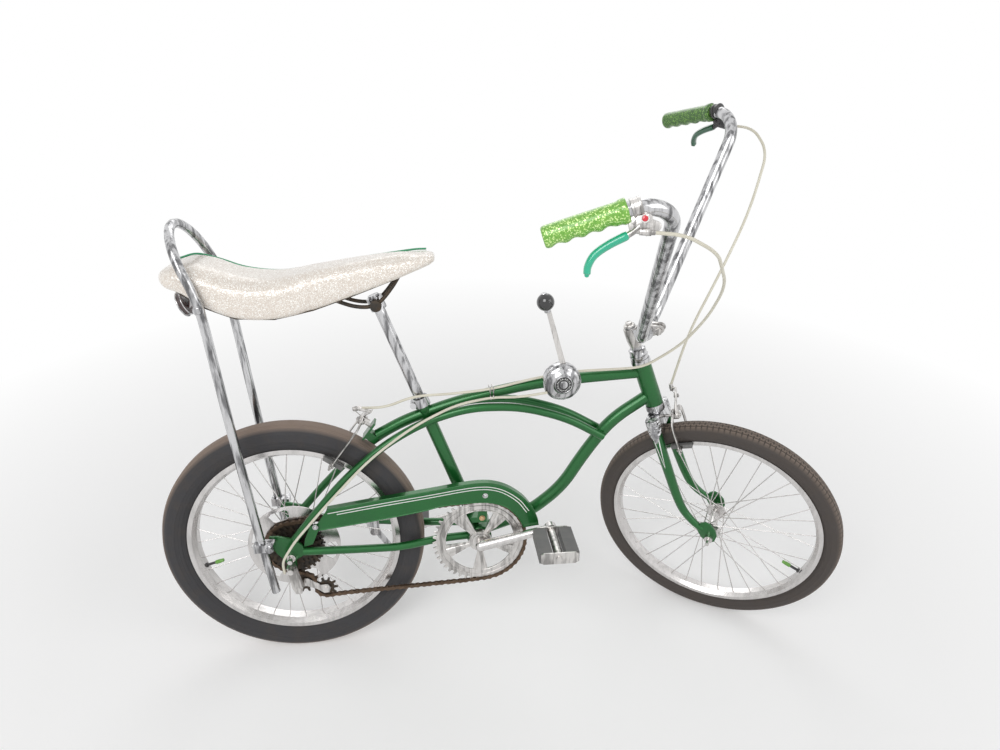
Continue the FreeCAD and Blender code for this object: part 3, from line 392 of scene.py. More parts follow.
@dataclass(frozen=True)
class Moulding:
    """Moulded plastic or rubber with a fine grain."""

    name: str = "black_plastic"
    colour: Triple = (0.012, 0.012, 0.013)
    dust: Triple = (0.08, 0.075, 0.07)
    roughness: float = 0.3
    grain: float = 700.0
    depth: float = 0.0002
    coat: float = 0.0

    def build(self) -> bpy.types.Material:
        """Make the material.

        Returns:
            The material.
        """
        s = ShaderTree(self.name)
        here = s.place()
        fine = s.noise(here, self.grain, 2.0)
        cloud = s.noise(here, 30.0, 4.0, 0.6)
        colour = s.mix(cloud.above(0.55, 0.35) * 0.35, self.colour, self.dust)
        return s.surface(Base_Color=colour, Roughness=self.roughness + cloud * 0.15,
                         Coat_Weight=self.coat, Normal=s.bump(fine, 0.2, self.depth))


@dataclass(frozen=True)
class Glitter:
    """Clear vinyl over bright flakes in one tone."""

    name: str = "glitter_white"
    colour: Triple = (0.85, 0.78, 0.7)
    flake_colour: Triple = (1.0, 0.99, 0.95)
    shade: Triple = (0.6, 0.52, 0.45)
    size: float = 900.0
    roughness: float = 0.3

    def build(self) -> bpy.types.Material:
        """Make the material.

        Returns:
            The material.
        """
        s = ShaderTree(self.name)
        here = s.place()
        tint = s.split(s.cells(here, self.size, "Color"))
        grain = s.noise(here, 260.0, 3.0, 0.6)
        cloud = s.noise(here, 14.0, 3.0)
        colour = s.mix(tint[0] * 0.55 + cloud * 0.2, self.colour, self.shade)
        colour = s.mix(tint[1].above(0.78, 0.1), colour, self.flake_colour)
        return s.surface(Base_Color=colour, Metallic=tint[1].above(0.78, 0.1) * 0.5,
                         Roughness=self.roughness + tint[2] * 0.25, Coat_Weight=0.5 + cloud * 0.3,
                         Coat_Roughness=0.12,
                         Normal=s.bump(grain, 0.12, 0.0006, s.bump(tint[2], 0.1, 0.0004)))


@dataclass(frozen=True)
class TyreRubber:
    """Tyre rubber laid out round a wheel: sidewalls, a worn tread band and a tread pattern."""

    name: str
    axes: Axes
    radius: float
    half: float
    sidewall: Triple = (0.038, 0.037, 0.04)
    tread: Triple = (0.27, 0.205, 0.165)
    bricks: bool = False

    def build(self) -> bpy.types.Material:
        """Make the material.

        Returns:
            The material.
        """
        s = ShaderTree(self.name)
        here = s.place(self.axes.matrix)
        x, y, z = s.split(here)
        out = (x * x + z * z).power(0.5)
        turn = s.node("ShaderNodeMath", {"operation": "ARCTAN2"}, {0: z, 1: x}) * self.radius
        off = y.absolute()
        crown = out.above(self.radius - 0.02, 0.014)
        dirt = s.noise(here, 34.0, 4.0, 0.6)
        fine = s.noise(here, 600.0, 3.0, 0.6)
        ribs = off.wave(0.0048).above(0.62, 0.3)
        if self.bricks:
            rows = off.wave(0.0088).above(0.2, 0.16)
            steps = (turn + off.above(0.0044) * 0.0055).wave(0.011).above(0.22, 0.18)
            pattern = rows * steps
        else:
            pattern = 1.0 - ribs * off.within(self.half * 0.25, self.half * 0.8, 0.002) * 0.7
        band = crown * off.below(self.half * 0.72, 0.006)
        worn = band * (0.55 + dirt * 0.7)
        colour = s.mix(worn.clamp(), self.sidewall, self.tread)
        colour = s.mix(dirt.above(0.6, 0.3) * 0.3, colour, (0.09, 0.07, 0.055))
        if self.bricks:
            colour = s.mix((1.0 - pattern) * band * 0.8, colour, (0.02, 0.016, 0.014))
        rings = out.wave(0.006).above(0.8, 0.2) * (1.0 - crown) * 0.3
        height = pattern * band + fine * 0.12 + rings
        return s.surface(Base_Color=colour, Roughness=0.62 + dirt * 0.25,
                         Normal=s.bump(height, 0.8, 0.0012))


@dataclass(frozen=True)
class Lens:
    """A dark moulded reflector with fine prisms under a clear face."""

    name: str = "reflector_lens"
    colour: Triple = (0.03, 0.012, 0.012)

    def build(self) -> bpy.types.Material:
        """Make the material.

        Returns:
            The material.
        """
        s = ShaderTree(self.name)
        here = s.place()
        prisms = s.cells(here, 420.0)
        colour = s.mix(prisms.below(0.35, 0.2) * 0.6, self.colour, (0.12, 0.03, 0.03))
        return s.surface(Base_Color=colour, Roughness=0.18 + prisms * 0.1, Coat_Weight=1.0,
                         Normal=s.bump(prisms, 0.35, 0.0006))


class Library:
    """The finishes, each made once and found by name."""

    FINISHES = {
        "paint": CandyPaint(),
        "relief": Plating("embossed_chrome", (0.8, 0.8, 0.8), (0.3, 0.3, 0.31), 0.14, 0.6, 1.0),
        # The left grip is the green glitter grip in painted shade: a darker copy of the same finish.
        "grip_painted_shade": Glitter("glitter_green_painted_shade", (0.045, 0.15, 0.014), (0.2, 0.4, 0.08),
                            (0.014, 0.06, 0.006), 700.0),
        "sleeve": Moulding("turquoise_sleeve", (0.0, 0.47, 0.27), (0.0, 0.3, 0.18), 0.12, 300.0, 0.0001, 1.0),
        # The left lever's sleeve is the turquoise sleeve in painted shade: a darker copy of the same finish.
        "sleeve_painted_shade": Moulding("turquoise_sleeve_painted_shade", (0.01, 0.1, 0.045), (0.02, 0.07, 0.04),
                               0.15, 300.0, 0.0001, 1.0),
        "piping": Moulding("green_piping", (0.02, 0.3, 0.13), (0.05, 0.25, 0.14), 0.3, 500.0, 0.0002, 0.4),
        "red": Moulding("red_enamel", (0.72, 0.008, 0.03), (0.5, 0.01, 0.03), 0.15, 300.0, 0.0001, 1.0),
        "decal": Moulding("white_decal", (0.88, 0.89, 0.87), (0.66, 0.68, 0.64), 0.35, 500.0, 0.0001),
        "brass": Plating("brass_screw", (0.72, 0.5, 0.3), (0.42, 0.28, 0.16), 0.25, 0.5),
        "gloss_black": Moulding("gloss_black", (0.004, 0.004, 0.004), (0.02, 0.02, 0.02),
                                0.08, 300.0, 0.00005, 1.0),
        "cap": Moulding("green_cap", (0.16, 0.42, 0.06), (0.1, 0.25, 0.05), 0.35, 500.0, 0.0003, 0.3),
        "chrome": Plating(),
        "bright": Plating("bright_chrome", (0.66, 0.64, 0.63), (0.4, 0.39, 0.38), 0.2, 0.25, painted_reflection_streak=0.3),
        "alloy": Plating("polished_alloy", (0.68, 0.66, 0.64), (0.3, 0.29, 0.28), 0.26, 0.4),
        "steel": SatinMetal(),
        "chain": SatinMetal("chain_steel", (0.16, 0.11, 0.075), (0.07, 0.045, 0.03), 0.38, 0.8),
        "rear_tyre": TyreRubber("rear_tyre_rubber", Axes.FRAME, 0.259, 0.0285),
        "front_tyre": TyreRubber("front_tyre_rubber", Axes.FRONT_WHEEL, 0.2495, 0.0205,
                                 (0.06, 0.05, 0.045), (0.2, 0.155, 0.125), True),
        "seat": Glitter(),
        "grip": Glitter("glitter_green", (0.235, 0.53, 0.06), (0.68, 0.92, 0.36), (0.075, 0.3, 0.02), 620.0),
        "ivory": Moulding("ivory_plastic", (0.72, 0.69, 0.58), (0.5, 0.46, 0.36), 0.35),
        "black": Moulding("black_plastic", coat=0.4),
        "rubber": Moulding("grey_rubber", (0.16, 0.16, 0.16), (0.3, 0.29, 0.27), 0.6, 500.0, 0.0005),
        "lens": Lens(),
    }

    def __init__(self) -> None:
        """Start with no material made."""
        self.made: dict[str, bpy.types.Material] = {}

    def __getitem__(self, name: str) -> bpy.types.Material:
        """The material of a name, made when it is first asked for.

        Args:
            name: The key in FINISHES.

        Returns:
            The material.
        """
        if name not in self.made:
            self.made[name] = self.FINISHES[name].build()
        return self.made[name]


LIBRARY = Library()
BODY_FRAMES = {"frame": PARKING.frame, "crank": PARKING.frame, "rear_wheel": PARKING.frame,
               "steering": PARKING.steering, "front_wheel": PARKING.front_wheel}


# the modelled pieces
def ray(turn: float) -> Vector:
    """The unit vector at an angle in the bicycle's own plane, from +X towards +Z."""
    return Vector((math.cos(turn), 0, math.sin(turn)))


def on_plane(pairs: Sequence[tuple[float, float]], y: float) -> list[Vector]:
    """Points from pairs of x and z, all at one y."""
    return [Vector((x, y, z)) for x, z in pairs]


def frame_of(axes: Sequence[Vector], origin: Vector) -> Matrix:
    """The matrix of a frame from its three axes and its origin."""
    return Matrix.Translation(origin) @ Matrix(axes).transposed().to_4x4()


def flowing(points: Sequence[Vector], steps: int = 8) -> list[Vector]:
    """A smooth line through points, with some steps from each point to the next.

    Args:
        points: What it passes through.
        steps: How many steps it takes from each to the next.

    Returns:
        The line's points.
    """
    ends = [points[0] * 2 - points[1], *points, points[-1] * 2 - points[-2]]
    line = []
    for a, b, c, d in zip(ends, ends[1:], ends[2:], ends[3:]):
        for step in range(steps):
            t = step / steps
            line.append(0.5 * (2 * b + (c - a) * t + (2 * a - 5 * b + 4 * c - d) * t ** 2
                               + (3 * b - a - 3 * c + d) * t ** 3))
    return [*line, points[-1].copy()]


def pick(*parts: bpy.types.Object) -> None:
    """Select only these objects, with the first one active.

    Args:
        parts: The objects.
    """
    bpy.ops.object.select_all(action="DESELECT")
    for part in parts:
        part.select_set(True)
    bpy.context.view_layer.objects.active = parts[0]


class Forge:
    """Draws parts in millimetres in the frame of one body and joins them to one named piece."""

    def __init__(self, body: str, place: Matrix | None = None, mirror: bool = False) -> None:
        """Start a piece.

        Args:
            body: The CAD body that it rides on.
            place: Its own frame within the body's, if it has one.
            mirror: Whether to swap left and right.
        """
        self.body = body
        self.frame = BODY_FRAMES[body] @ (place or Matrix.Identity(4))
        if mirror:
            self.frame = self.frame @ Matrix.Scale(-1, 4, (0, 1, 0))
        self.parts: list[bpy.types.Object] = []

    @staticmethod
    def modify(part: bpy.types.Object, kind: str, **settings: object) -> None:
        """Add a modifier to a part and apply it.

        Args:
            part: The part.
            kind: The modifier's type.
            settings: Its settings.
        """
        pick(part)
        made = part.modifiers.new(kind.lower(), kind)
        for key, value in settings.items():
            setattr(made, key, value)
        bpy.ops.object.modifier_apply(modifier=made.name)

    def rod(self, start: Vector, end: Vector, radius: float, tip: float | None = None,
            sides: int = 32, bevel: float = 0.0) -> None:
        """Add a cylinder or a cone between two points.

        Args:
            start: The centre of one end.
            end: The centre of the other.
            radius: The radius at the start.
            tip: The radius at the end, if it differs.
            sides: How many flats the wall has.
            bevel: The width of its broken edges.
        """
        way = end - start
        bpy.ops.mesh.primitive_cone_add(
            vertices=sides, radius1=radius, radius2=radius if tip is None else tip, depth=way.length,
            location=(start + end) / 2, rotation=way.to_track_quat("Z", "Y").to_euler())
        part = bpy.context.object
        if bevel:
            self.modify(part, "BEVEL", width=bevel, segments=2, limit_method="ANGLE", angle_limit=0.6)
        self.parts.append(part)

    def ball(self, centre: Vector, radius: float) -> None:
        """Add a sphere."""
        bpy.ops.mesh.primitive_uv_sphere_add(segments=40, ring_count=24, radius=radius, location=centre)
        self.parts.append(bpy.context.object)

    def ring(self, centre: Vector, axis: Vector, radius: float, thick: float) -> None:
        """Add a torus about an axis."""
        bpy.ops.mesh.primitive_torus_add(
            major_radius=radius, minor_radius=thick, major_segments=56, minor_segments=12,
            location=centre, rotation=axis.to_track_quat("Z", "Y").to_euler())
        self.parts.append(bpy.context.object)

    def slab(self, outline: Sequence[tuple[float, float]], place: Matrix, thick: float,
             bevel: float = 0.0) -> None:
        """Add a flat part: an outline in the place's XY plane, with its wall along Z.

        Args:
            outline: Its corners, in order.
            place: Where the outline lies.
            thick: The wall.
            bevel: The width of its broken edges.
        """
        bpy.ops.mesh.primitive_circle_add(vertices=len(outline), fill_type="NGON")
        part = bpy.context.object
        for vertex, (u, v) in zip(part.data.vertices, outline):
            vertex.co = (u, v, 0.0)
        part.data.update()
        self.modify(part, "SOLIDIFY", thickness=thick, offset=0.0)
        if bevel:
            self.modify(part, "BEVEL", width=bevel, segments=2, limit_method="ANGLE", angle_limit=0.5)
        part.matrix_world = place
        self.parts.append(part)

    def _sheet(self, rows: Sequence[Sequence[Vector]]) -> bpy.types.Object:
        """Add a sheet of quads through rows of points.

        Args:
            rows: The rows, all of one length.

        Returns:
            The part.
        """
        bpy.ops.mesh.primitive_grid_add(x_subdivisions=len(rows[0]) - 1, y_subdivisions=len(rows) - 1)
        part = bpy.context.object
        for vertex, point in zip(part.data.vertices, (point for row in rows for point in row)):
            vertex.co = point
        part.data.update()
        self.parts.append(part)
        return part

    def patch(self, rows: Sequence[Sequence[Vector]], thick: float) -> None:
        """Add a thin wall through rows of points."""
        self.modify(self._sheet(rows), "SOLIDIFY", thickness=thick, offset=0.0)

    def loft(self, rings: Sequence[Sequence[Vector]]) -> None:
        """Add a closed skin through rings of points, with both ends filled.

        Args:
            rings: The rings, all of one length.
        """
        ends = [[sum(ring, Vector((0, 0, 0))) / len(ring)] * len(ring) for ring in (rings[0], rings[-1])]
        rows = [[*row, row[0]] for row in (ends[0], *rings, ends[1])]
        self.modify(self._sheet(rows), "WELD", merge_threshold=1e-3)

    def taper(self, points: Sequence[Vector], radii: Sequence[float], side: Vector,
              wide: float = 1.0) -> None:
        """Add a round or flattened tube along points, wider by a share along one side.

        Args:
            points: Its centre line.
            radii: A radius for each point.
            side: The side that is wider.
            wide: How much wider it is.
        """
        rings = []
        ways = [(b - a).normalized() for a, b in zip(points, points[1:])]
        turns = [math.tau * k / TUBE_SIDES for k in range(TUBE_SIDES)]
        for point, radius, before, after in zip(points, radii, [ways[0], *ways], [*ways, ways[-1]]):
            way = (before + after).normalized()
            across = (side - way * side.dot(way)).normalized()
            up = way.cross(across)
            rings.append([point + (across * math.cos(turn) * wide + up * math.sin(turn)) * radius
                          for turn in turns])
        self.loft(rings)

    def tube(self, points: Sequence[Vector], radius: float) -> None:
        """Add a round bead with capped ends through points.

        Args:
            points: Its centre line.
            radius: Its radius.
        """
        data = bpy.data.curves.new("bead", "CURVE")
        data.dimensions = "3D"
        data.bevel_depth = radius
        data.bevel_resolution = 3
        data.use_fill_caps = True
        line = data.splines.new("POLY")
        line.points.add(len(points) - 1)
        for knot, point in zip(line.points, points):
            knot.co = (*point, 1.0)
        part = bpy.data.objects.new("bead", data)
        bpy.context.scene.collection.objects.link(part)
        pick(part)
        bpy.ops.object.convert(target="MESH")
        self.parts.append(bpy.context.object)

    def joined(self) -> bpy.types.Object:
        """The parts as one object whose place is in its mesh.

        Returns:
            The joined object.
        """
        bpy.context.view_layer.update()
        pick(*self.parts)
        if len(self.parts) > 1:
            bpy.ops.object.join()
        bpy.ops.object.transform_apply(location=True, rotation=True, scale=True)
        return bpy.context.object

    def done(self, name: str, finish: str, slot: str | None = None, smooth: float = 35.0,
             stands_for: str | None = None) -> bpy.types.Object:
        """Join the parts and put the piece in its place on the body.

        Args:
            name: The piece's name.
            finish: Its finish in the library.
            slot: The record's material slot, if it has one. It is not used.
            smooth: Edges flatter than this angle are shaded smooth.
            stands_for: The CAD node that it replaces, if it replaces one.

        Returns:
            The piece, its object at the origin.
        """
        piece = self.joined()
        bpy.ops.object.mode_set(mode="EDIT")
        bpy.ops.mesh.select_all(action="SELECT")
        bpy.ops.mesh.normals_make_consistent(inside=False)
        bpy.ops.object.mode_set(mode="OBJECT")
        piece.data.transform(self.frame @ Matrix.Scale(MM, 4))
        if self.frame.determinant() < 0:
            piece.data.flip_normals()
        piece.name = piece.data.name = name
        piece.data.materials.clear()
        piece.data.materials.append(LIBRARY[finish])
        bpy.ops.object.shade_smooth_by_angle(angle=math.radians(smooth))
        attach(piece, self.body)
        if stands_for:
            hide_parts(stands_for)
        LOG.info("made %s on %s", name, self.body)
        return piece


@dataclass
class Seat:
    """The glitter banana seat: a stuffed pad and the bead sewn round its top."""

    name: str = "seat_pad"
    voxel: float = 0.005
    pressure: float = 4.0
    puff: float = 0.0025
    bead: float = 1.8
    sections: tuple[tuple[float, float, float, float], ...] = (
        (-168, 549, 560, 34), (-162, 541, 567, 48), (-151, 535, 572, 60), (-126, 527, 577, 71),
        (-90, 502.5, 568, 75), (-42, 482.5, 551, 76), (21, 478, 545, 71), (86, 490, 556, 61),
        (153, 511, 567, 51), (219, 534.5, 576, 43), (262, 551.5, 581.5, 38), (284, 560, 582.5, 33),
        (295, 565, 581, 25), (299, 570, 577, 15))
    frames: int = 20
    corners: int = 48
    waist: float = 0.45
    top_roll: float = 0.42
    low_roll: float = 0.28
    crown: float = 0.25
    bead_turn: float = 60.0

    def _skin(self) -> list[list[Vector]]:
        """Rings across the seat: boxy below, rolled edges and a crowned top.

        Returns:
            The rings, from the rear end to the nose.
        """
        rings = []
        for x, low, high, half in flowing([Vector(section) for section in self.sections], 5):
            middle = low + (high - low) * self.waist
            ring = []
            for k in range(self.corners):
                turn = math.tau * k / self.corners
                u, v = math.cos(turn), math.sin(turn)
                roll = self.top_roll if v > 0 else self.low_roll
                reach = (high - middle) if v > 0 else (middle - low)
                ring.append(Vector((x, math.copysign(abs(u) ** roll, u) * half,
                                    middle + math.copysign(abs(v) ** (roll + self.crown), v) * reach)))
            rings.append(ring)
        return rings

    def build(self) -> None:
        """Make the pad and its bead."""
        form = Forge("frame")
        form.loft(self._skin())
        pad = form.done(self.name, "seat", "vinyl_white", stands_for="seat_cushion")
        Forge.modify(pad, "REMESH", mode="VOXEL", voxel_size=self.voxel)
        rest = [vertex.co.copy() for vertex in pad.data.vertices]
        self._inflate(pad)
        self._settle(pad, rest)
        Forge.modify(pad, "SUBSURF", levels=1, render_levels=1)
        bpy.ops.object.shade_smooth()
        bead = Forge("frame")
        bead.tube(self._bead_line(), self.bead)
        bead.done("seat_piping", "piping")

    def _inflate(self, pad: bpy.types.Object) -> None:
        """Blow the pad up a little as cloth.

        Args:
            pad: The pad, with its skin in its mesh.
        """
        scene = bpy.context.scene
        cloth = pad.modifiers.new("cloth", "CLOTH")
        cloth.settings.use_pressure = True
        cloth.settings.uniform_pressure_force = self.pressure
        cloth.settings.effector_weights.gravity = 0.0
        cloth.settings.tension_stiffness = cloth.settings.compression_stiffness = 25.0
        cloth.point_cache.frame_start, cloth.point_cache.frame_end = 1, self.frames
        for frame in range(1, self.frames + 1):
            scene.frame_set(frame)
        pick(pad)
        bpy.ops.object.modifier_apply(modifier=cloth.name)
        scene.frame_set(1)

    def _settle(self, pad: bpy.types.Object, rest: Sequence[Vector]) -> None:
        """Cap how far the cloth has moved, and keep its underside on the pan.

        Args:
            pad: The pad, after the cloth has moved.
            rest: Where its vertices were.
        """
        up = PARKING.frame.to_3x3() @ Vector((0, 0, 1))
        normals = [vertex.normal.copy() for vertex in pad.data.vertices]
        for vertex, start, normal in zip(pad.data.vertices, rest, normals):
            moved = vertex.co - start
            limit = self.puff * min(1.0, max(0.0, normal.dot(up) * 1.5 + 0.6))
            if moved.length > limit:
                moved = moved.normalized() * limit
            vertex.co = start + moved
        pad.data.update()

    def _bead_line(self) -> list[Vector]:
        """The bead's line along the top's left edge, turned in at its rear end.

        Returns:
            The bead's centre line.
        """
        line = []
        turn = math.radians(self.bead_turn)
        aside, lift = math.cos(turn) ** self.top_roll, math.sin(turn) ** (self.top_roll + self.crown)
        for x, low, high, half in self.sections[2:-2]:
            middle = low + (high - low) * self.waist
            line.append(Vector((x, half * aside, middle + (high - middle) * lift + 0.6)))
        start = line[0] + Vector((-6, -26, 0.5))
        return flowing([start, *line], 6)


@dataclass(frozen=True)
class Wrap:
    """A sprocket that the chain bends round: turn is 1 inside the loop and -1 outside it."""

    x: float
    z: float
    teeth: int
    plane: float
    turn: int

    @property
    def radius(self) -> float:
        """The pitch radius."""
        return CHAIN_PITCH / 2 / math.sin(math.pi / self.teeth)


@dataclass
class Chain:
    """Inner and outer links of the roller chain along its route."""

    wraps: tuple[Wrap, ...] = (
        Wrap(371.5, -2, 46, -46.0, 1), Wrap(0, 0, 28, -34.5, 1), Wrap(13, -85, 10, -34.5, -1),
        Wrap(54, -101, 10, -34.5, 1))
    pitch: float = CHAIN_PITCH

    def build(self) -> None:
        """Make the links in one mesh."""
        pins = self._pins()
        masters = [self._master(*form) for form in ((2.85, 0.9, 1.9, 3.5), (1.9, 0.9, 3.9, 1.4))]
        mesh = bmesh.new()
        for index, (start, end) in enumerate(zip(pins, pins[1:] + pins[:1])):
            way = (end - start).normalized()
            across = (Vector((0, 1, 0)) - way * way.y).normalized()
            place = frame_of((way, across, way.cross(across)), (start + end) / 2)
            before = len(mesh.verts)
            mesh.from_mesh(masters[index % 2].data)
            mesh.verts.ensure_lookup_table()
            bmesh.ops.transform(mesh, matrix=place, verts=mesh.verts[before:])
        links = bpy.data.objects.new("links", bpy.data.meshes.new("links"))
        mesh.to_mesh(links.data)
        mesh.free()
        bpy.context.scene.collection.objects.link(links)
        for master in masters:
            bpy.data.objects.remove(master)
        forge = Forge("frame")
        forge.parts.append(links)
        forge.done("chain_links", "chain", "chain_brown", stands_for="chain")

    def _master(self, side: float, wall: float, pin: float, reach: float) -> bpy.types.Object:
        """One link at the origin: two waisted plates, and its pins or rollers.

        Args:
            side: How far each plate is from the middle.
            wall: A plate's thickness.
            pin: The radius of its pins or rollers.
            reach: How far they reach from the middle.

        Returns:
            The link.
        """
        forge = Forge("frame")
        eye, half, waist = 4.1, self.pitch / 2, 2.7
        right = [(half + eye * math.cos(math.radians(a)), eye * math.sin(math.radians(a)))
                 for a in (-115, -70, -25, 25, 70, 115)]
        left = [(-u, -v) for u, v in right]
        outline = [*right, (0.0, waist), *left, (0.0, -waist)]
        lie = Matrix.Rotation(math.radians(90), 4, "X")
        for hand in (1, -1):
            forge.slab(outline, Matrix.Translation((0, side * hand, 0)) @ lie, wall)
            forge.rod(Vector((half * hand, -reach, 0)), Vector((half * hand, reach, 0)), pin, sides=8)
        return forge.joined()

    def _pins(self) -> list[Vector]:
        """Evenly spaced pins along the whole route.

        Returns:
            The pins' centres.
        """
        route: list[Vector] = []
        count = len(self.wraps)
        for index, wrap in enumerate(self.wraps):
            before, after = self.wraps[index - 1], self.wraps[(index + 1) % count]
            _, start = self._tangent(before, wrap)
            leave, arrive = self._tangent(wrap, after)
            centre = Vector((wrap.x, wrap.plane, wrap.z))
            a = math.atan2(start.z - wrap.z, start.x - wrap.x)
            b = math.atan2(leave.z - wrap.z, leave.x - wrap.x)
            span = (b - a) % math.tau if wrap.turn > 0 else -((a - b) % math.tau)
            steps = max(2, int(abs(span) * wrap.radius / 2))
            for step in range(steps + 1):
                route.append(centre + ray(a + span * step / steps) * wrap.radius)
            run = arrive - leave
            flat = min(45.0, run.length / 3) / run.length
            for share in (flat, 1 - flat):
                point = leave + run * share
                point.y = wrap.plane if share == flat else after.plane
                route.append(point)
        route.append(route[0])
        lengths = [(b - a).length for a, b in zip(route, route[1:])]
        links = round(sum(lengths) / self.pitch / 2) * 2
        step, pins, gone = sum(lengths) / links, [], 0.0
        for a, b, length in zip(route, route[1:], lengths):
            while length > 0 and len(pins) * step < gone + length and len(pins) < links:
                pins.append(a.lerp(b, (len(pins) * step - gone) / length))
            gone += length
        return pins

    @staticmethod
    def _tangent(first: Wrap, last: Wrap) -> tuple[Vector, Vector]:
        """Ends of the straight run from one wrap to the next.

        Args:
            first: The wrap that it leaves.
            last: The wrap that it reaches.

        Returns:
            Both ends.
        """
        way = Vector((last.x - first.x, 0, last.z - first.z))
        lift = (last.turn * last.radius - first.turn * first.radius) / way.length
        slope = math.atan2(way.z, way.x) - math.asin(lift)
        left = ray(slope + math.pi / 2)
        return (Vector((first.x, first.plane, first.z)) - left * (first.turn * first.radius),
                Vector((last.x, last.plane, last.z)) - left * (last.turn * last.radius))


@dataclass
class Valves:
    """A valve stem with a green cap on each rim, at an angle and a radius."""

    rear: tuple[float, float] = (196.2, 194.5)
    front: tuple[float, float] = (-21.7, 199.0)

    def build(self) -> None:
        """Make both valves."""
        for name, angle, rim in (("rear", *self.rear), ("front", *self.front)):
            way, stem, cap = ray(math.radians(angle)), Forge(f"{name}_wheel"), Forge(f"{name}_wheel")
            stem.rod(way * rim, way * (rim - 26), 2.8, sides=20)
            stem.rod(way * rim, way * (rim - 3), 5.0, sides=20, bevel=0.5)
            stem.done(f"{name}_valve_stem", "black")
            cap.rod(way * (rim - 20), way * (rim - 37), 4.1, 3.4, sides=20, bevel=0.8)
            for ridge in (23, 26, 29):
                cap.ring(way * (rim - ridge), way, 3.9, 0.4)
            cap.done(f"{name}_valve_cap", "cap")


@dataclass(frozen=True)
class LeverFrame:
    """Directions of the right grip and its lever, in the steering's frame."""

    end: Vector = field(default_factory=lambda: Vector((628, -345, 733)))
    bend: Vector = field(default_factory=lambda: Vector((785, -268, 786)))
    tilt: float = 25.0

    @property
    def grip(self) -> Vector:
        """Along the bar, from its end."""
        return (self.bend - self.end).normalized()

    @property
    def down(self) -> Vector:
        """From the bar to the lever.

        Returns:
            The direction.
        """
        rise = (Vector((0, 0, 1)) - self.grip * self.grip.z).normalized()
        outward = self.grip.cross(rise)
        tilt = math.radians(self.tilt)
        return outward * math.sin(tilt) - rise * math.cos(tilt)

    @property
    def side(self) -> Vector:
        """Across the lever."""
        return self.grip.cross(self.down)

    def at(self, forward: float, down: float, aside: float = 0.0) -> Vector:
        """A point from the perch: along the grip, down from it and across the lever."""
        return self.end + self.grip * (124 + forward) + self.down * down + self.side * aside


@dataclass
class Grips:
    """Moulded grips with finger scallops and a collar."""

    lever: LeverFrame = field(default_factory=LeverFrame)
    radius: float = 15.6
    length: float = 112.0
    scallop: float = 3.0
    fingers: float = 23.0

    def build(self) -> None:
        """Make both grips."""
        # The left grip takes the darker green copy: painted shade on the far side.
        for name, finish, mirror in (("grip_right", "grip", False), ("grip_left", "grip_painted_shade", True)):
            forge = Forge("steering", mirror=mirror)
            forge.loft([self._ring(step) for step in self._steps()])
            forge.done(name, finish, "grip_green", 60, None if mirror else "grips")

    def _steps(self) -> list[float]:
        """Places of the rings along the grip."""
        ends = [-3.2, -3.0, -2.2, -0.8, 1.5]
        return ends + [4 + 2.0 * k for k in range(49)] + [102, 103, 104, 108, 111, 112]

    def _ring(self, place: float) -> list[Vector]:
        """One ring of the grip's skin.

        Args:
            place: How far it is from the bar's end.

        Returns:
            The ring's points.
        """
        lever = self.lever
        centre = lever.end + lever.grip * place
        radius = self.radius
        if place < 3:
            radius -= 3.4 * (1 - math.sqrt(max(0.0, 1 - ((3 - place) / 6.3) ** 2)))
        if place > 101:
            radius += min(1.6, (place - 101) * 0.6)
        if place > 111.5:
            radius -= 1.0
        wave = 0.5 + 0.5 * math.cos(math.tau * (place - 14) / self.fingers)
        depth = self.scallop * wave if 3 < place < 95 else 0.0
        ring = []
        for k in range(32):
            turn = math.tau * k / 32
            way = lever.down * math.cos(turn) + lever.side * math.sin(turn)
            ring.append(centre + way * (radius - depth * max(0.0, math.cos(turn)) ** 1.3))
        return ring


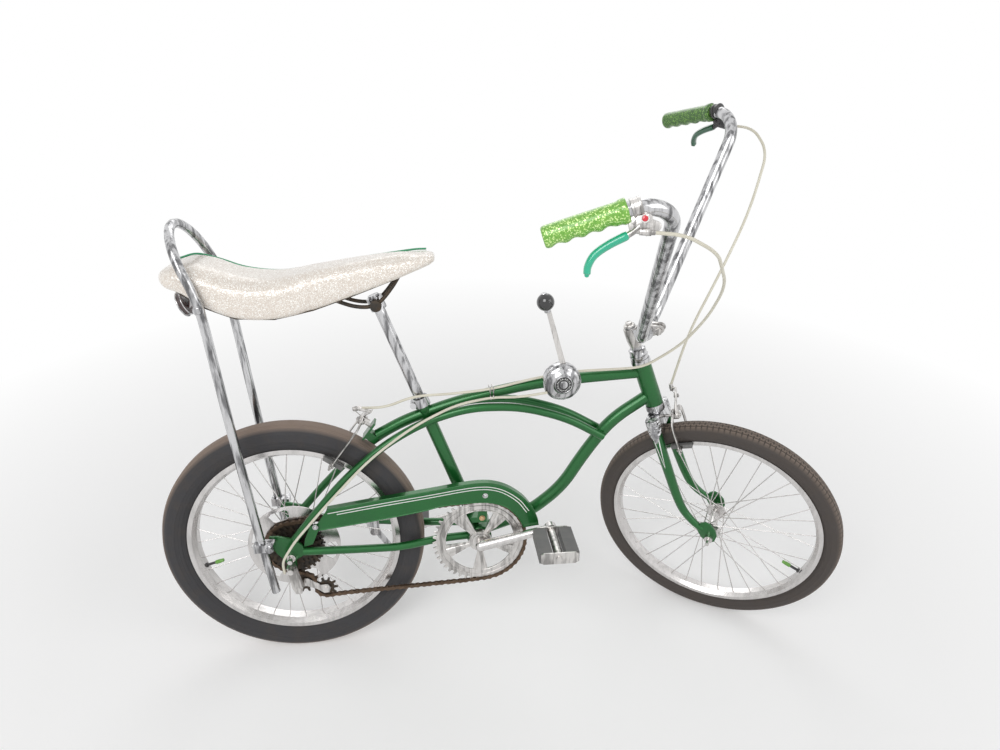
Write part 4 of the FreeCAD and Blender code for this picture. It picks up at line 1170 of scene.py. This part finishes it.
@dataclass
class Levers:
    """Brake levers: clamp, perch, cable barrel, and a bent blade in a coloured sleeve."""

    lever: LeverFrame = field(default_factory=LeverFrame)
    cable: Triple = (758.0, -302.4, 741.5)
    cable_way: Triple = (42.0, 14.4, -3.5)

    def build(self) -> None:
        """Make both levers and the right one's badge."""
        # The left lever is given black metal and a darker green sleeve: painted shade on the far side.
        sides = (("right", "alloy", "sleeve", False), ("left", "black", "sleeve_painted_shade", True))
        bends = ((-21, 30.5), (-48, 35), (-69, 42), (-81, 53), (-86, 64))
        blade = flowing([self.lever.at(forward, down) for forward, down in bends], 8)
        for name, metal, sleeve, mirror in sides:
            self._metal(mirror).done(f"lever_{name}", metal,
                                     stands_for=None if mirror else "brake_levers")
            cover = Forge("steering", mirror=mirror)
            radii = [6.4 - 1.4 * k / (len(blade) - 1) for k in range(len(blade))]
            radii[0] -= 0.8
            radii[-1] -= 1.8
            cover.taper(blade, radii, self.lever.side, 1.35)
            cover.ball(blade[-1], 3.4)
            cover.done(f"lever_sleeve_{name}", sleeve, smooth=50)
        self._badge()

    def _metal(self, mirror: bool) -> "Forge":
        """Clamp, perch, barrel and the bare part of the blade.

        Args:
            mirror: Whether it is the left one.

        Returns:
            The parts.
        """
        at, lever = self.lever.at, self.lever
        forge = Forge("steering", mirror=mirror)
        for start in (-7.0, 3.0):
            forge.rod(at(start, 0), at(start + 4, 0), 13.8, sides=36, bevel=0.5)
        forge.rod(at(-6, 0), at(6, 0), 12.7, sides=36)
        place = frame_of((lever.grip, lever.down, lever.side), at(0, 0))
        outline = [(-11, 9), (10, 8), (13, 14), (15, 21), (23, 27), (24, 34), (16, 40), (4, 39), (-8, 33),
                   (-17, 28), (-17, 18), (-14, 13)]
        forge.slab(outline, place, 10, bevel=2.0)
        inner = [(-6, 14), (7, 13), (9, 20), (14, 27), (12, 31), (-6, 27), (-11, 23), (-10, 17)]
        forge.slab(inner, place, 12, bevel=1.0)
        for forward, down, size in ((10, 18, 5.6), (-9, 17, 3.6)):
            forge.rod(at(forward, down, -7), at(forward, down, 7), size, sides=24, bevel=0.7)
        start, way = Vector(self.cable), Vector(self.cable_way).normalized()
        forge.rod(start - way * 15, start + way * 1.0, 4.9, sides=24, bevel=0.8)
        forge.rod(start + way * 0.5, start + way * 6, 3.7, 3.3, sides=20, bevel=0.4)
        forge.rod(start - way * 6, start - way * 4, 5.4, sides=20, bevel=0.4)
        forge.taper(flowing([at(-3, 24), at(-12, 28), at(-24, 31.5)], 4), [4.4] * 9, lever.side, 1.5)
        return forge

    def _badge(self) -> None:
        """A red disc in a pale ring on the right lever's pivot."""
        side = self.lever.side if self.lever.side.y < 0 else -self.lever.side
        pivot = self.lever.at(6, 17) + side * 6.3
        disc = Forge("steering")
        disc.rod(pivot, pivot + side * 1.3, 4.2, 3.7, sides=32, bevel=0.3)
        disc.done("lever_badge", "red")
        ring = Forge("steering")
        ring.ring(pivot + side * 0.3, side, 5.0, 0.8)
        ring.done("lever_badge_ring", "decal")


@dataclass
class Guard:
    """The chain guard's panel with rounded corners, a rolled lip and a folded top."""

    side: float = -55.0
    top: tuple[tuple[float, float], ...] = (
        (74, 94), (120, 101), (180, 110), (274, 123), (330, 131.5), (366, 135), (396, 133), (426, 122),
        (456, 99), (476, 72), (486, 50), (489, 33))
    low: tuple[tuple[float, float], ...] = (
        (460, 29), (454, 44), (442, 62), (424, 79), (400, 89), (376, 93), (340, 92), (298, 89), (253, 79),
        (160, 64), (95, 55), (42, 48))

    def build(self) -> None:
        """Make the guard."""
        top, low = (flowing(on_plane(line, self.side), 5) for line in (self.top, self.low))
        forge = Forge("frame")
        rows = [[a.lerp(b, share / 6) for a, b in zip(top, reversed(low))] for share in range(7)]
        forge.patch(rows, 2.0)
        fold = [[point + Vector((0, shift, 0)) for point in top[:-6]] for shift in (-0.5, 3.0, 8.0, 13.0)]
        forge.patch(fold, 2.0)
        for line in (top, low):
            forge.tube([point + Vector((0, -0.4, 0)) for point in line], 1.5)
        forge.done("guard_panel", "paint", "paint_green", 50, "chain_guard")


@dataclass
class Fork:
    """Tapered blades with flat tips, pointed chrome caps and a white dart under each."""

    tip: tuple[tuple[float, float], ...] = (
        (-26, 12), (-22, 30), (-12, 37), (-2, 34), (10, 22), (15, 8), (12, -8), (4, -14), (-6, -12),
        (-16, -4))
    bends: tuple[Triple, ...] = ((262, 0, 37), (205, 0, 37.7), (150, 0.5, 39), (104, 2, 41.5), (68, 7, 44),
                                 (40, 20, 47), (20, 36, 50))
    high: float = 250.0
    low: float = 176.0

    def __post_init__(self) -> None:
        """Find the steering axis."""
        self.foot, self.up = Vector(PARKING.head_foot) / MM, Vector(PARKING.head_way)
        self.front = Vector((self.up.z, 0, -self.up.x))

    def on(self, along: float, front: float = 0.0, side: float = 0.0) -> Vector:
        """A point along the steering axis, ahead of it and beside it."""
        return self.foot + self.up * along + self.front * front + Vector((0, side, 0))

    def build(self) -> None:
        """Make blades, caps and darts."""
        blades, caps = Forge("steering"), Forge("steering")
        for hand, name in ((-1, "right"), (1, "left")):
            route = flowing([self.on(along, front, side * hand) for along, front, side in self.bends], 6)
            radii = [11.2 - 4.6 * (k / (len(route) - 1)) ** 1.3 for k in range(len(route))]
            blades.taper(route, radii, self.front, 1.0)
            lie = Matrix.Rotation(math.radians(90), 4, "X")
            lie.translation = (PARKING.wheelbase / MM, 50.5 * hand, 0)
            blades.slab(self.tip, lie, 5.0, bevel=0.6)
            caps.patch(self._cap(hand), 1.2)
            caps.rod(self.on(284, 0, 37 * hand), self.on(289, 0, 37 * hand), 13.9, 12.2, sides=40, bevel=0.8)
            self._dart(hand, name)
        blades.done("fork_blade_tubes", "paint", "paint_green", 50, "fork_blades")
        caps.done("fork_caps", "relief", "chrome", smooth=50)

    def _cap(self, hand: int) -> list[list[Vector]]:
        """A shield round the blade's top: high at its edges, and pointed in the middle.

        Args:
            hand: 1 on the left and -1 on the right.

        Returns:
            Rows of points.
        """
        rows = []
        for row in range(9):
            points = []
            for k in range(-12, 13):
                turn = math.radians(150) * k / 12
                low = 238 + 24 * min(1.0, abs(math.sin(turn)) if abs(turn) < math.pi / 2 else 1.0)
                along = low + (286 - low) * row / 8
                flare = 0.5 * math.sin(math.pi * row / 8)
                points.append(self.on(along, math.sin(turn) * (13.5 + flare),
                                      (37 + math.cos(turn) * (13.5 + flare)) * hand))
            rows.append(points)
        return rows

    def _dart(self, hand: int, name: str) -> None:
        """A white outline of a pointed flash on the blade's outer side.

        Args:
            hand: 1 on the left and -1 on the right.
            name: The side's name.
        """
        dart = Forge("steering")
        for edge in (-1, 1):
            rows = []
            for step in range(13):
                share = step / 12
                along = self.high + (self.low - self.high) * share
                radius = 11.2 - 4.6 * ((262 - along) / 270) ** 1.3 + 0.25
                reach = math.radians(33) * (1 - share) ** 0.85
                width = math.radians(9) * (1 - share) + math.radians(3)
                row = []
                for k in range(4):
                    turn = edge * (reach - width * k / 3 * (1 if reach > width else reach / width))
                    lift = 10 * abs(turn) if step == 0 else 0.0
                    row.append(self.on(along + lift, math.sin(turn) * radius,
                                       (37 + (262 - along) * 0.014 + math.cos(turn) * radius) * hand))
                rows.append(row)
            dart.patch(rows, 0.25)
        dart.done(f"blade_dart_{name}", "decal")


@dataclass
class GuardLines:
    """Two white lines along the guard's top edge: pinstripes at the rear, and toward the front a painted
    highlight along the edge.
    """

    guard: Guard = field(default_factory=Guard)
    drops: tuple[float, float] = (7.0, 12.5)
    width: float = 1.5

    def build(self) -> None:
        """Make both lines."""
        # Each white line is a pinstripe at the rear and a painted highlight along the edge toward the front.
        for index, drop in enumerate(self.drops):
            top = flowing(on_plane(self.guard.top[:-2], self.guard.side - 1.15), 8)
            rows = []
            for shift in (drop, drop + self.width):
                row = []
                for a, b in zip(top, top[1:] + [top[-1] * 2 - top[-2]]):
                    way = (b - a).normalized()
                    row.append(a + Vector((way.z, 0, -way.x)) * shift)
                rows.append(row[3 * index:])
            forge = Forge("frame")
            forge.patch(rows, 0.25)
            forge.done(f"guard_line_{index + 1}", "decal")


@dataclass
class Shifter:
    """The stick shifter's dial, cap, ball and collars."""

    centre: Triple = (534.0, -41.0, 331.0)
    ball: Triple = (498.0, -23.5, 489.0)
    ticks: int = 24
    profile: tuple[tuple[float, float], ...] = (
        (36.5, 29.5), (36.8, 20), (35.5, 13), (32, 9), (27, 6.5), (21, 4.5), (18.5, 2.0), (17.5, 0.4))

    def build(self) -> None:
        """Make them all."""
        centre, out = Vector(self.centre), Vector((0, -1, 0))
        body = Forge("frame")
        body.loft([[centre - out * back + ray(math.tau * k / 64) * radius for k in range(64)]
                   for radius, back in self.profile])
        body.ring(centre - out * 14, out, 35.9, 1.0)
        body.done("shifter_body", "chrome", "chrome", stands_for="shifter_housing")
        strap = Forge("frame")
        strap.rod(Vector((522, 0, 323.3)), Vector((546, 0, 325.7)), 14.2, sides=36, bevel=0.8)
        strap.done("shifter_strap", "chrome", "chrome")
        dial = Forge("frame")
        dial.rod(centre - out * 0.3, centre + out * 0.7, 15.3, sides=48, bevel=0.2)
        dial.done("shifter_dial", "black")
        marks = Forge("frame")
        for tick in range(self.ticks):
            way, face = ray(math.tau * tick / self.ticks), centre + out * 0.7
            marks.rod(face + way * 10.6, face + way * (13.4 if tick % 3 else 12.0), 0.6, sides=6)
        marks.done("shifter_marks", "decal")
        cap = Forge("frame")
        cap.rod(centre, centre + out * 2.2, 8.6, 7.2, sides=40, bevel=0.5)
        cap.rod(centre + out * 2.0, centre + out * 3.4, 4.4, 3.6, sides=32, bevel=0.4)
        cap.ring(centre + out * 0.2, out, 16.4, 1.1)
        cap.done("shifter_hub_cap", "chrome", "chrome")
        top, down = Vector(self.ball), Vector((0.24, 0, -0.97))
        knob = Forge("frame")
        knob.ball(top, 16.7)
        knob.done("shifter_ball", "gloss_black")
        collar = Forge("frame")
        collar.rod(top + down * 15, top + down * 20, 6.5, 6.0, sides=24, bevel=0.6)
        collar.rod(top - down * 16.2, top - down * 17.8, 6.0, 5.0, sides=24, bevel=0.4)
        collar.done("shifter_collar", "chrome", "chrome")


@dataclass
class Fasteners:
    """Screws, bolts and rims that the solids leave out."""

    guard_screws: tuple[Triple, ...] = ((382, -56.2, 108), (50, -60.2, 60))
    brass_screw: Triple = (377, -39.2, 46)
    seat_bolt: Triple = (-93, -91.5, 508)
    reflector: tuple[Triple, Triple] = ((-147, 0, 496.5), (-10, 0, -4))

    def build(self) -> None:
        """Make them all."""
        out = Vector((0, -1, 0))
        screws = Forge("frame")
        for place in self.guard_screws:
            self._screw(screws, Vector(place), out, 4.2)
        for hand in (1, -1):
            place = Vector(self.seat_bolt)
            place.y *= hand
            self._screw(screws, place, out * hand, 7.0)
            inner = Vector((place.x, -70 * hand, place.z))
            screws.rod(inner, place, 3.0, sides=16)
        screws.done("frame_screws", "chrome", "chrome")
        brass = Forge("frame")
        self._screw(brass, Vector(self.brass_screw), out, 4.6)
        brass.done("guard_brass_screw", "brass")
        face, way = (Vector(v) for v in self.reflector)
        rim = Forge("frame")
        rim.ring(face, way.normalized(), 22.2, 1.6)
        rim.ring(face - way.normalized() * 8, way.normalized(), 22.0, 1.2)
        rim.done("reflector_rim", "chrome", "chrome")
        self._clip()

    @staticmethod
    def _screw(forge: "Forge", place: Vector, out: Vector, radius: float) -> None:
        """A washer and a domed head."""
        forge.rod(place, place + out * 0.8, radius * 1.3, sides=28)
        forge.rod(place + out * 0.8, place + out * 2.8, radius, radius * 0.72, sides=28, bevel=0.5)

    @staticmethod
    def _clip() -> None:
        """The band that holds the two cables to the top tube."""
        middle, way = Vector((400, 0, 308)), Vector((135, 0, 29)).normalized()
        clip = Forge("frame")
        for shift in (-3.0, 3.0):
            clip.ring(middle + way * shift, way, 11.9, 1.1)
        for offset, radius in (((0, -14.5, 9), 3.6), ((0, -17, -7), 3.6)):
            for shift in (-3.0, 3.0):
                clip.ring(middle + Vector(offset) + way * shift, way, radius, 1.0)
        clip.done("cable_clip", "alloy")


@dataclass
class Caliper:
    """A side-pull brake: two crossed arms on a bolt, slotted ends and a cable barrel."""

    name: str
    node: str
    body: str
    origin: tuple[float, float, float]
    out: tuple[float, float, float]
    half_gap: float
    reach: float
    rim_half: float
    cable: tuple[float, float, float]
    cable_way: tuple[float, float, float]

    def build(self) -> None:
        """Make the caliper in its own frame: X along the bolt, Z away from the axle."""
        up = Vector(self.out)
        bolt_way = Vector((up.z, 0, -up.x)) * (1 if self.body == "frame" else -1)
        forge = Forge(self.body, frame_of((bolt_way, up.cross(bolt_way), up), Vector(self.origin) * MM))
        x_way, lane, reach = Vector((1, 0, 0)), self.half_gap + 6, self.reach
        drop = ((2, 6), (self.half_gap * 0.6, 6), (lane - 3, -4), (lane, -20), (lane, -reach * 0.6),
                (lane, -reach + 8))
        near, far = [Vector((-5, y, z)) for y, z in drop], [Vector((-9, -y, z)) for y, z in drop]
        for points in (near, far):
            line = flowing(points, 6)
            forge.taper(line, [6.2 - 1.0 * k / len(line) for k in range(len(line))], x_way, 0.36)
        horns = (([(4, 4), (-14, 12), (-lane - 2, 24)], -5), ([(6, 4), (-8, 18), (-24, 32), (-lane, 44)], -9))
        for tip, level in horns:
            line = flowing([Vector((level, y, z)) for y, z in tip], 6)
            forge.taper(line, [5.2 - 1.2 * k / len(line) for k in range(len(line))], x_way, 0.4)
        for hand, level in ((1, -5), (-1, -9)):
            for drop in (-3, 4):
                forge.ring(Vector((level, lane * hand, drop - reach)), x_way, 5.4, 1.9)
            end = Vector((level - 4, lane * hand, -reach))
            forge.rod(end, end + x_way * 9, 4.4, sides=6, bevel=0.5)
            inner, outer = (Vector((-6.5, y * hand, -reach)) for y in (self.rim_half + 4, lane + 2))
            forge.rod(inner, outer, 3.2, sides=20)
        forge.rod(Vector((16, 0, 0)), Vector((-17, 0, 0)), 3.0, sides=20)
        forge.rod(Vector((-11, 0, 0)), Vector((-15, 0, 0)), 7.0, sides=6, bevel=0.6)
        forge.rod(Vector((-2, 0, 0)), Vector((-12, 0, 0)), 8.4, sides=32, bevel=0.8)
        forge.ring(Vector((-1, 0, 4)), x_way, 8.0, 1.3)
        end, way = Vector(self.cable), Vector(self.cable_way).normalized()
        forge.rod(end - way * 3, end + way * 13, 4.2, sides=20, bevel=0.6)
        forge.rod(end + way * 5, end + way * 8, 5.2, sides=6, bevel=0.3)
        forge.rod(end + way * 13, Vector((-5, -lane - 1, 24)), 0.9, sides=12)
        forge.rod(Vector((-9, -lane + 1, 43)), end + way * 8, 2.6, sides=16)
        forge.rod(Vector((-1, -lane - 1, 24)), Vector((-10, -lane - 1, 24)), 4.6, sides=6, bevel=0.5)
        forge.done(self.name, "alloy", stands_for=self.node)


def brakes(fork: Fork) -> tuple[Caliper, Caliper]:
    """The brake behind the seat tube and the one on the fork's crown.

    Args:
        fork: The fork, which carries the front one.

    Returns:
        Both brakes.
    """
    rear = Caliper("rear_caliper", "rear_brake", "frame", (152.4, 0, 252.0), (0.6018, 0, 0.7986),
                   35, 95, 19.5, (-30.8, -40, 36.9), (-0.60, -0.33, -0.4))
    front = Caliper("front_caliper", "front_brake", "steering", tuple(fork.on(272, 30)), tuple(fork.up),
                    28, 62, 14, (-0.7, -36.5, 49.2), (0.1, 0, -1))
    return rear, front


@dataclass
class Chainring:
    """Toothed rim, five flared spokes with raised ridges, and a stepped boss."""

    centre: Triple = (371.5, -46.0, -2.0)
    teeth: int = 46

    def build(self) -> None:
        """Make the ring."""
        forge = Forge("crank")
        centre, out = Vector(self.centre), Vector((0, -1, 0))
        pitch = CHAIN_PITCH / 2 / math.sin(math.pi / self.teeth)
        edge = [(pitch + rise, math.tau * (tooth + step) / self.teeth) for tooth in range(self.teeth)
                for step, rise in ((-0.28, -3.9), (-0.11, 3.2), (0.11, 3.2), (0.28, -3.9))]
        edge.append(edge[0])
        forge.patch([[centre + ray(turn) * radius for radius, turn in edge],
                     [centre + ray(turn) * 70.0 for _, turn in edge]], 2.0)
        for k in range(5):
            middle = math.radians(72 * k - 90)
            rows = []
            for radius in (16, 22, 30, 44, 58, 71):
                half = math.radians(12.5) + math.radians(9) * max(0.0, (26 - radius) / 10)
                rows.append([centre + ray(middle + half * j / 4) * radius for j in range(-4, 5)])
            forge.patch(rows, 2.6)
            ridge = [centre + out * 1.6 + ray(middle) * radius for radius in (20, 34, 48, 62, 71)]
            forge.taper(ridge, [2.6, 4.0, 5.4, 6.8, 7.4], out, 0.35)
        for radius, thick in ((71.5, 1.9), (82.0, 1.5)):
            forge.ring(centre + out * 1.0, out, radius, thick)
        forge.rod(centre - out * 2, centre + out * 4.0, 24.0, 22.5, sides=64, bevel=0.8)
        forge.rod(centre + out * 3.5, centre + out * 6.0, 17.0, 15.5, sides=48, bevel=0.6)
        forge.done("chainring_plate", "alloy", smooth=30, stands_for="chainring")


@dataclass
class SeatGear:
    """The hooped bar behind the seat, and the rails between the post's clamp and the pan."""

    half: float = 84.0
    top: tuple[float, float] = (-141.0, 637.0)
    leg: tuple[tuple[float, float], ...] = (
        (-33, -66), (-42, 0), (-50, 60), (-60, 160), (-70, 260), (-81, 380), (-92, 500), (-99, 530))
    rail: tuple[tuple[float, float], ...] = (
        (236, 546), (222, 524), (200, 498), (180, 488), (150, 490), (112, 504))

    def build(self) -> None:
        """Make both."""
        near = on_plane(self.leg, -self.half)
        foot, crest = Vector((-104, 0, 548)), Vector((self.top[0], 0, self.top[1]))
        turns = [math.radians(angle) for angle in range(0, 181, 9)]
        hoop = [foot.lerp(crest, math.sin(turn)) - Vector((0, self.half * math.cos(turn), 0))
                for turn in turns]
        far = on_plane(self.leg[::-1], self.half)
        line = flowing([*near, *hoop, *far], 3)
        bar = Forge("frame")
        bar.tube(line, 8.0)
        bar.done("sissy_tube", "chrome", "chrome", 60, "sissy_bar")
        rails = Forge("frame")
        for y in (19.0, -19.0):
            rails.tube(flowing(on_plane(self.rail, y), 5), 3.6)
            end = Vector((190.6, math.copysign(16, y), 489.8))
            rails.rod(end, end + Vector((0, math.copysign(11, y), 0)), 10.5, sides=32, bevel=1.0)
        rails.done("seat_rails", "steel", "steel_dark")


@dataclass
class StemBits:
    """The stem's binder ears and bolt, and a cap on the quill."""

    fork: Fork
    ear: tuple[tuple[float, float], ...] = ((42, 455), (60, 457), (66, 461), (66, 468), (60, 473), (42, 478))

    def build(self) -> None:
        """Make them."""
        fork, forge = self.fork, Forge("steering")
        for hand in (-1, 1):
            place = frame_of((fork.front, fork.up, fork.front.cross(fork.up)), fork.on(0, 0, 6.2 * hand))
            forge.slab(self.ear, place, 7.0, bevel=1.2)
        bolt = fork.on(464.5, 57)
        across = Vector((0, 1, 0))
        forge.rod(bolt - across * 18, bolt - across * 10, 7.2, sides=6, bevel=0.7)
        forge.rod(bolt + across * 10, bolt + across * 15, 6.8, sides=6, bevel=0.7)
        forge.rod(bolt - across * 12, bolt + across * 16, 4.0, sides=20)
        forge.rod(fork.on(478), fork.on(483), 11.6, 10.4, sides=40, bevel=0.8)
        forge.rod(fork.on(483), fork.on(488), 6.6, sides=6, bevel=0.6)
        forge.rod(fork.on(436), fork.on(450), 11.3, 13.6, sides=40)
        forge.rod(fork.on(449), fork.on(476), 13.7, sides=40, bevel=1.0)
        forge.done("stem_fittings", "alloy", "chrome")
        head = Forge("steering")
        head.rod(fork.on(417), fork.on(424), 18.6, 17.2, sides=8, bevel=0.8)
        head.rod(fork.on(424), fork.on(430), 16.8, 15.0, sides=40, bevel=0.8)
        head.done("headset_lock_nut", "chrome", "chrome")


# the CAD pieces
@dataclass
class CadDress:
    """Finishes for the CAD's own pieces, the replaced ones too."""

    groups: dict[str, tuple[str, ...]] = field(default_factory=lambda: {
        "paint": ("head_tube", "seat_tube", "top_tube", "down_tube", "cantilever_tubes", "chainstays",
                  "rear_dropouts", "bottom_bracket_shell", "brake_bridge", "chain_guard", "guard_brackets",
                  "fork_blades"),
        "chrome": ("kickstand", "stand_clamp", "headset_cups", "headset_nuts", "seat_post", "seat_collar",
                   "seat_clamp", "sissy_bar", "sissy_brackets", "shifter_housing", "fork_crown", "stem",
                   "handlebar"),
        "bright": ("crank", "crank_bearings", "rear_rim", "front_rim", "rear_hub", "front_hub", "rear_axle",
                   "front_axle", "spoke_protector", "front_spokes", "rear_spokes"),
        "alloy": ("brake_levers", "rear_brake", "front_brake", "rear_derailleur", "chainring",
                  "shifter_stick", "pedal_left", "pedal_right"),
        "steel": ("freewheel", "seat_pan", "jockey_wheels"),
        "chain": ("chain",),
        "rear_tyre": ("rear_tyre",),
        "front_tyre": ("front_tyre",),
        "seat": ("seat_cushion",),
        "grip": ("grips",),
        "rubber": ("pedal_left_blocks", "pedal_right_blocks", "rear_brake_pads", "front_brake_pads"),
        "ivory": ("front_brake_cable", "rear_brake_cable", "shift_cable"),
        "lens": ("rear_reflector",),
    })

    def apply(self, nodes: dict[str, bpy.types.Object]) -> None:
        """Give each node its finish.

        Args:
            nodes: The CAD nodes by name.
        """
        for finish, names in self.groups.items():
            for name in names:
                mesh = nodes[name].data
                mesh.materials.clear()
                mesh.materials.append(LIBRARY[finish])
                LOG.info("dressed %s in %s", name, finish)


# the studio
@dataclass
class Studio:
    """Floor, light and camera."""

    eye: Triple = (0.28468, -1.23796, 0.82226)
    azimuth: float = -6.0916
    elevation: float = 21.1778
    roll: float = 0.11
    lens: float = 24.9055
    floor: Triple = (0.8, 0.8, 0.8)
    ambient: float = 0.42

    def build(self) -> None:
        """Make the floor, the world, the lamps and the camera."""
        self._floor()
        self._world()
        self._lamp("key_softbox", (-1.4, -2.6, 3.4), 2.2, 66.0)
        self._lamp("fill_softbox", (2.8, -1.8, 2.2), 2.2, 22.0)
        self._lamp("back_softbox", (0.2, 3.0, 2.8), 2.6, 22.0)
        self._camera()

    def _floor(self) -> None:
        """A wide pale floor that keeps the shadow and fades to white far away."""
        bpy.ops.mesh.primitive_plane_add(size=40)
        floor = bpy.context.object
        floor.name = "floor"
        s = ShaderTree("floor")
        x, y, _ = s.split(s.place())
        far = (x * x + y * y).power(0.5).above(1.5, 1.1)
        matt = s.node("ShaderNodeBsdfPrincipled", {}, {
            "Base Color": self.floor, "Roughness": 0.8, "Emission Color": WHITE, "Emission Strength": 0.2})
        white = s.node("ShaderNodeEmission", {}, {"Color": WHITE, "Strength": 1.0})
        floor.data.materials.append(s.close(s.node("ShaderNodeMixShader", {}, {0: far, 1: matt, 2: white})))

    def _world(self) -> None:
        """A pale room: white to the camera and in mirrors, and a soft light elsewhere."""
        s = ShaderTree("room", world=True)
        camera, glossy, through = (s.node("ShaderNodeLightPath", {}, {}, f"Is {kind} Ray")
                                   for kind in ("Camera", "Glossy", "Transmission"))
        light, seen = (s.node("ShaderNodeBackground", {}, {"Color": WHITE, "Strength": strength})
                       for strength in (self.ambient, 1.0))
        share = camera.most(glossy).most(through)
        bpy.context.scene.world = s.close(s.node("ShaderNodeMixShader", {}, {0: share, 1: light, 2: seen}))

    def _lamp(self, name: str, place: Triple, size: float, power: float) -> None:
        """A square softbox that looks at the bicycle.

        Args:
            name: The lamp's name.
            place: Where it stands.
            size: Its side.
            power: Its watts.
        """
        data = bpy.data.lights.new(name, "AREA")
        data.size = size
        data.energy = power
        lamp = bpy.data.objects.new(name, data)
        lamp.location = place
        lamp.rotation_euler = (Vector((0, 0, 0.4)) - Vector(place)).to_track_quat("-Z", "Y").to_euler()
        bpy.context.scene.collection.objects.link(lamp)

    def _camera(self) -> None:
        """The camera of the photograph."""
        az, el, roll = (math.radians(v) for v in (self.azimuth, self.elevation, self.roll))
        back = Vector((math.cos(el) * math.sin(az), -math.cos(el) * math.cos(az), math.sin(el)))
        right = (-back).cross(Vector((0, 0, 1))).normalized()
        up = right.cross(-back)
        turned_right = right * math.cos(roll) + up * math.sin(roll)
        turned_up = up * math.cos(roll) - right * math.sin(roll)
        place = frame_of((turned_right, turned_up, back), Vector(self.eye))
        data = bpy.data.cameras.new("camera")
        data.lens = self.lens
        data.sensor_width = 36.0
        data.clip_start = 0.01
        camera = bpy.data.objects.new("camera", data)
        camera.matrix_world = PARKING.frame @ place
        bpy.context.scene.collection.objects.link(camera)
        bpy.context.scene.camera = camera


def main() -> None:
    """Load the frame, dress it and set the studio."""
    logging.basicConfig(level=logging.INFO, format="%(name)s: %(message)s")
    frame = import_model()
    bpy.ops.object.select_all(action="DESELECT")
    fork = Fork()
    CadDress().apply(frame["nodes"])
    for part in (Seat(), Grips(), Levers(), Guard(), GuardLines(), fork, StemBits(fork), Shifter(),
                 Fasteners(), *brakes(fork), Chainring(), SeatGear(), Valves(), Chain()):
        part.build()
    Studio().build()
    bpy.context.scene.view_settings.view_transform = "Standard"


if __name__ == "__main__":
    main()
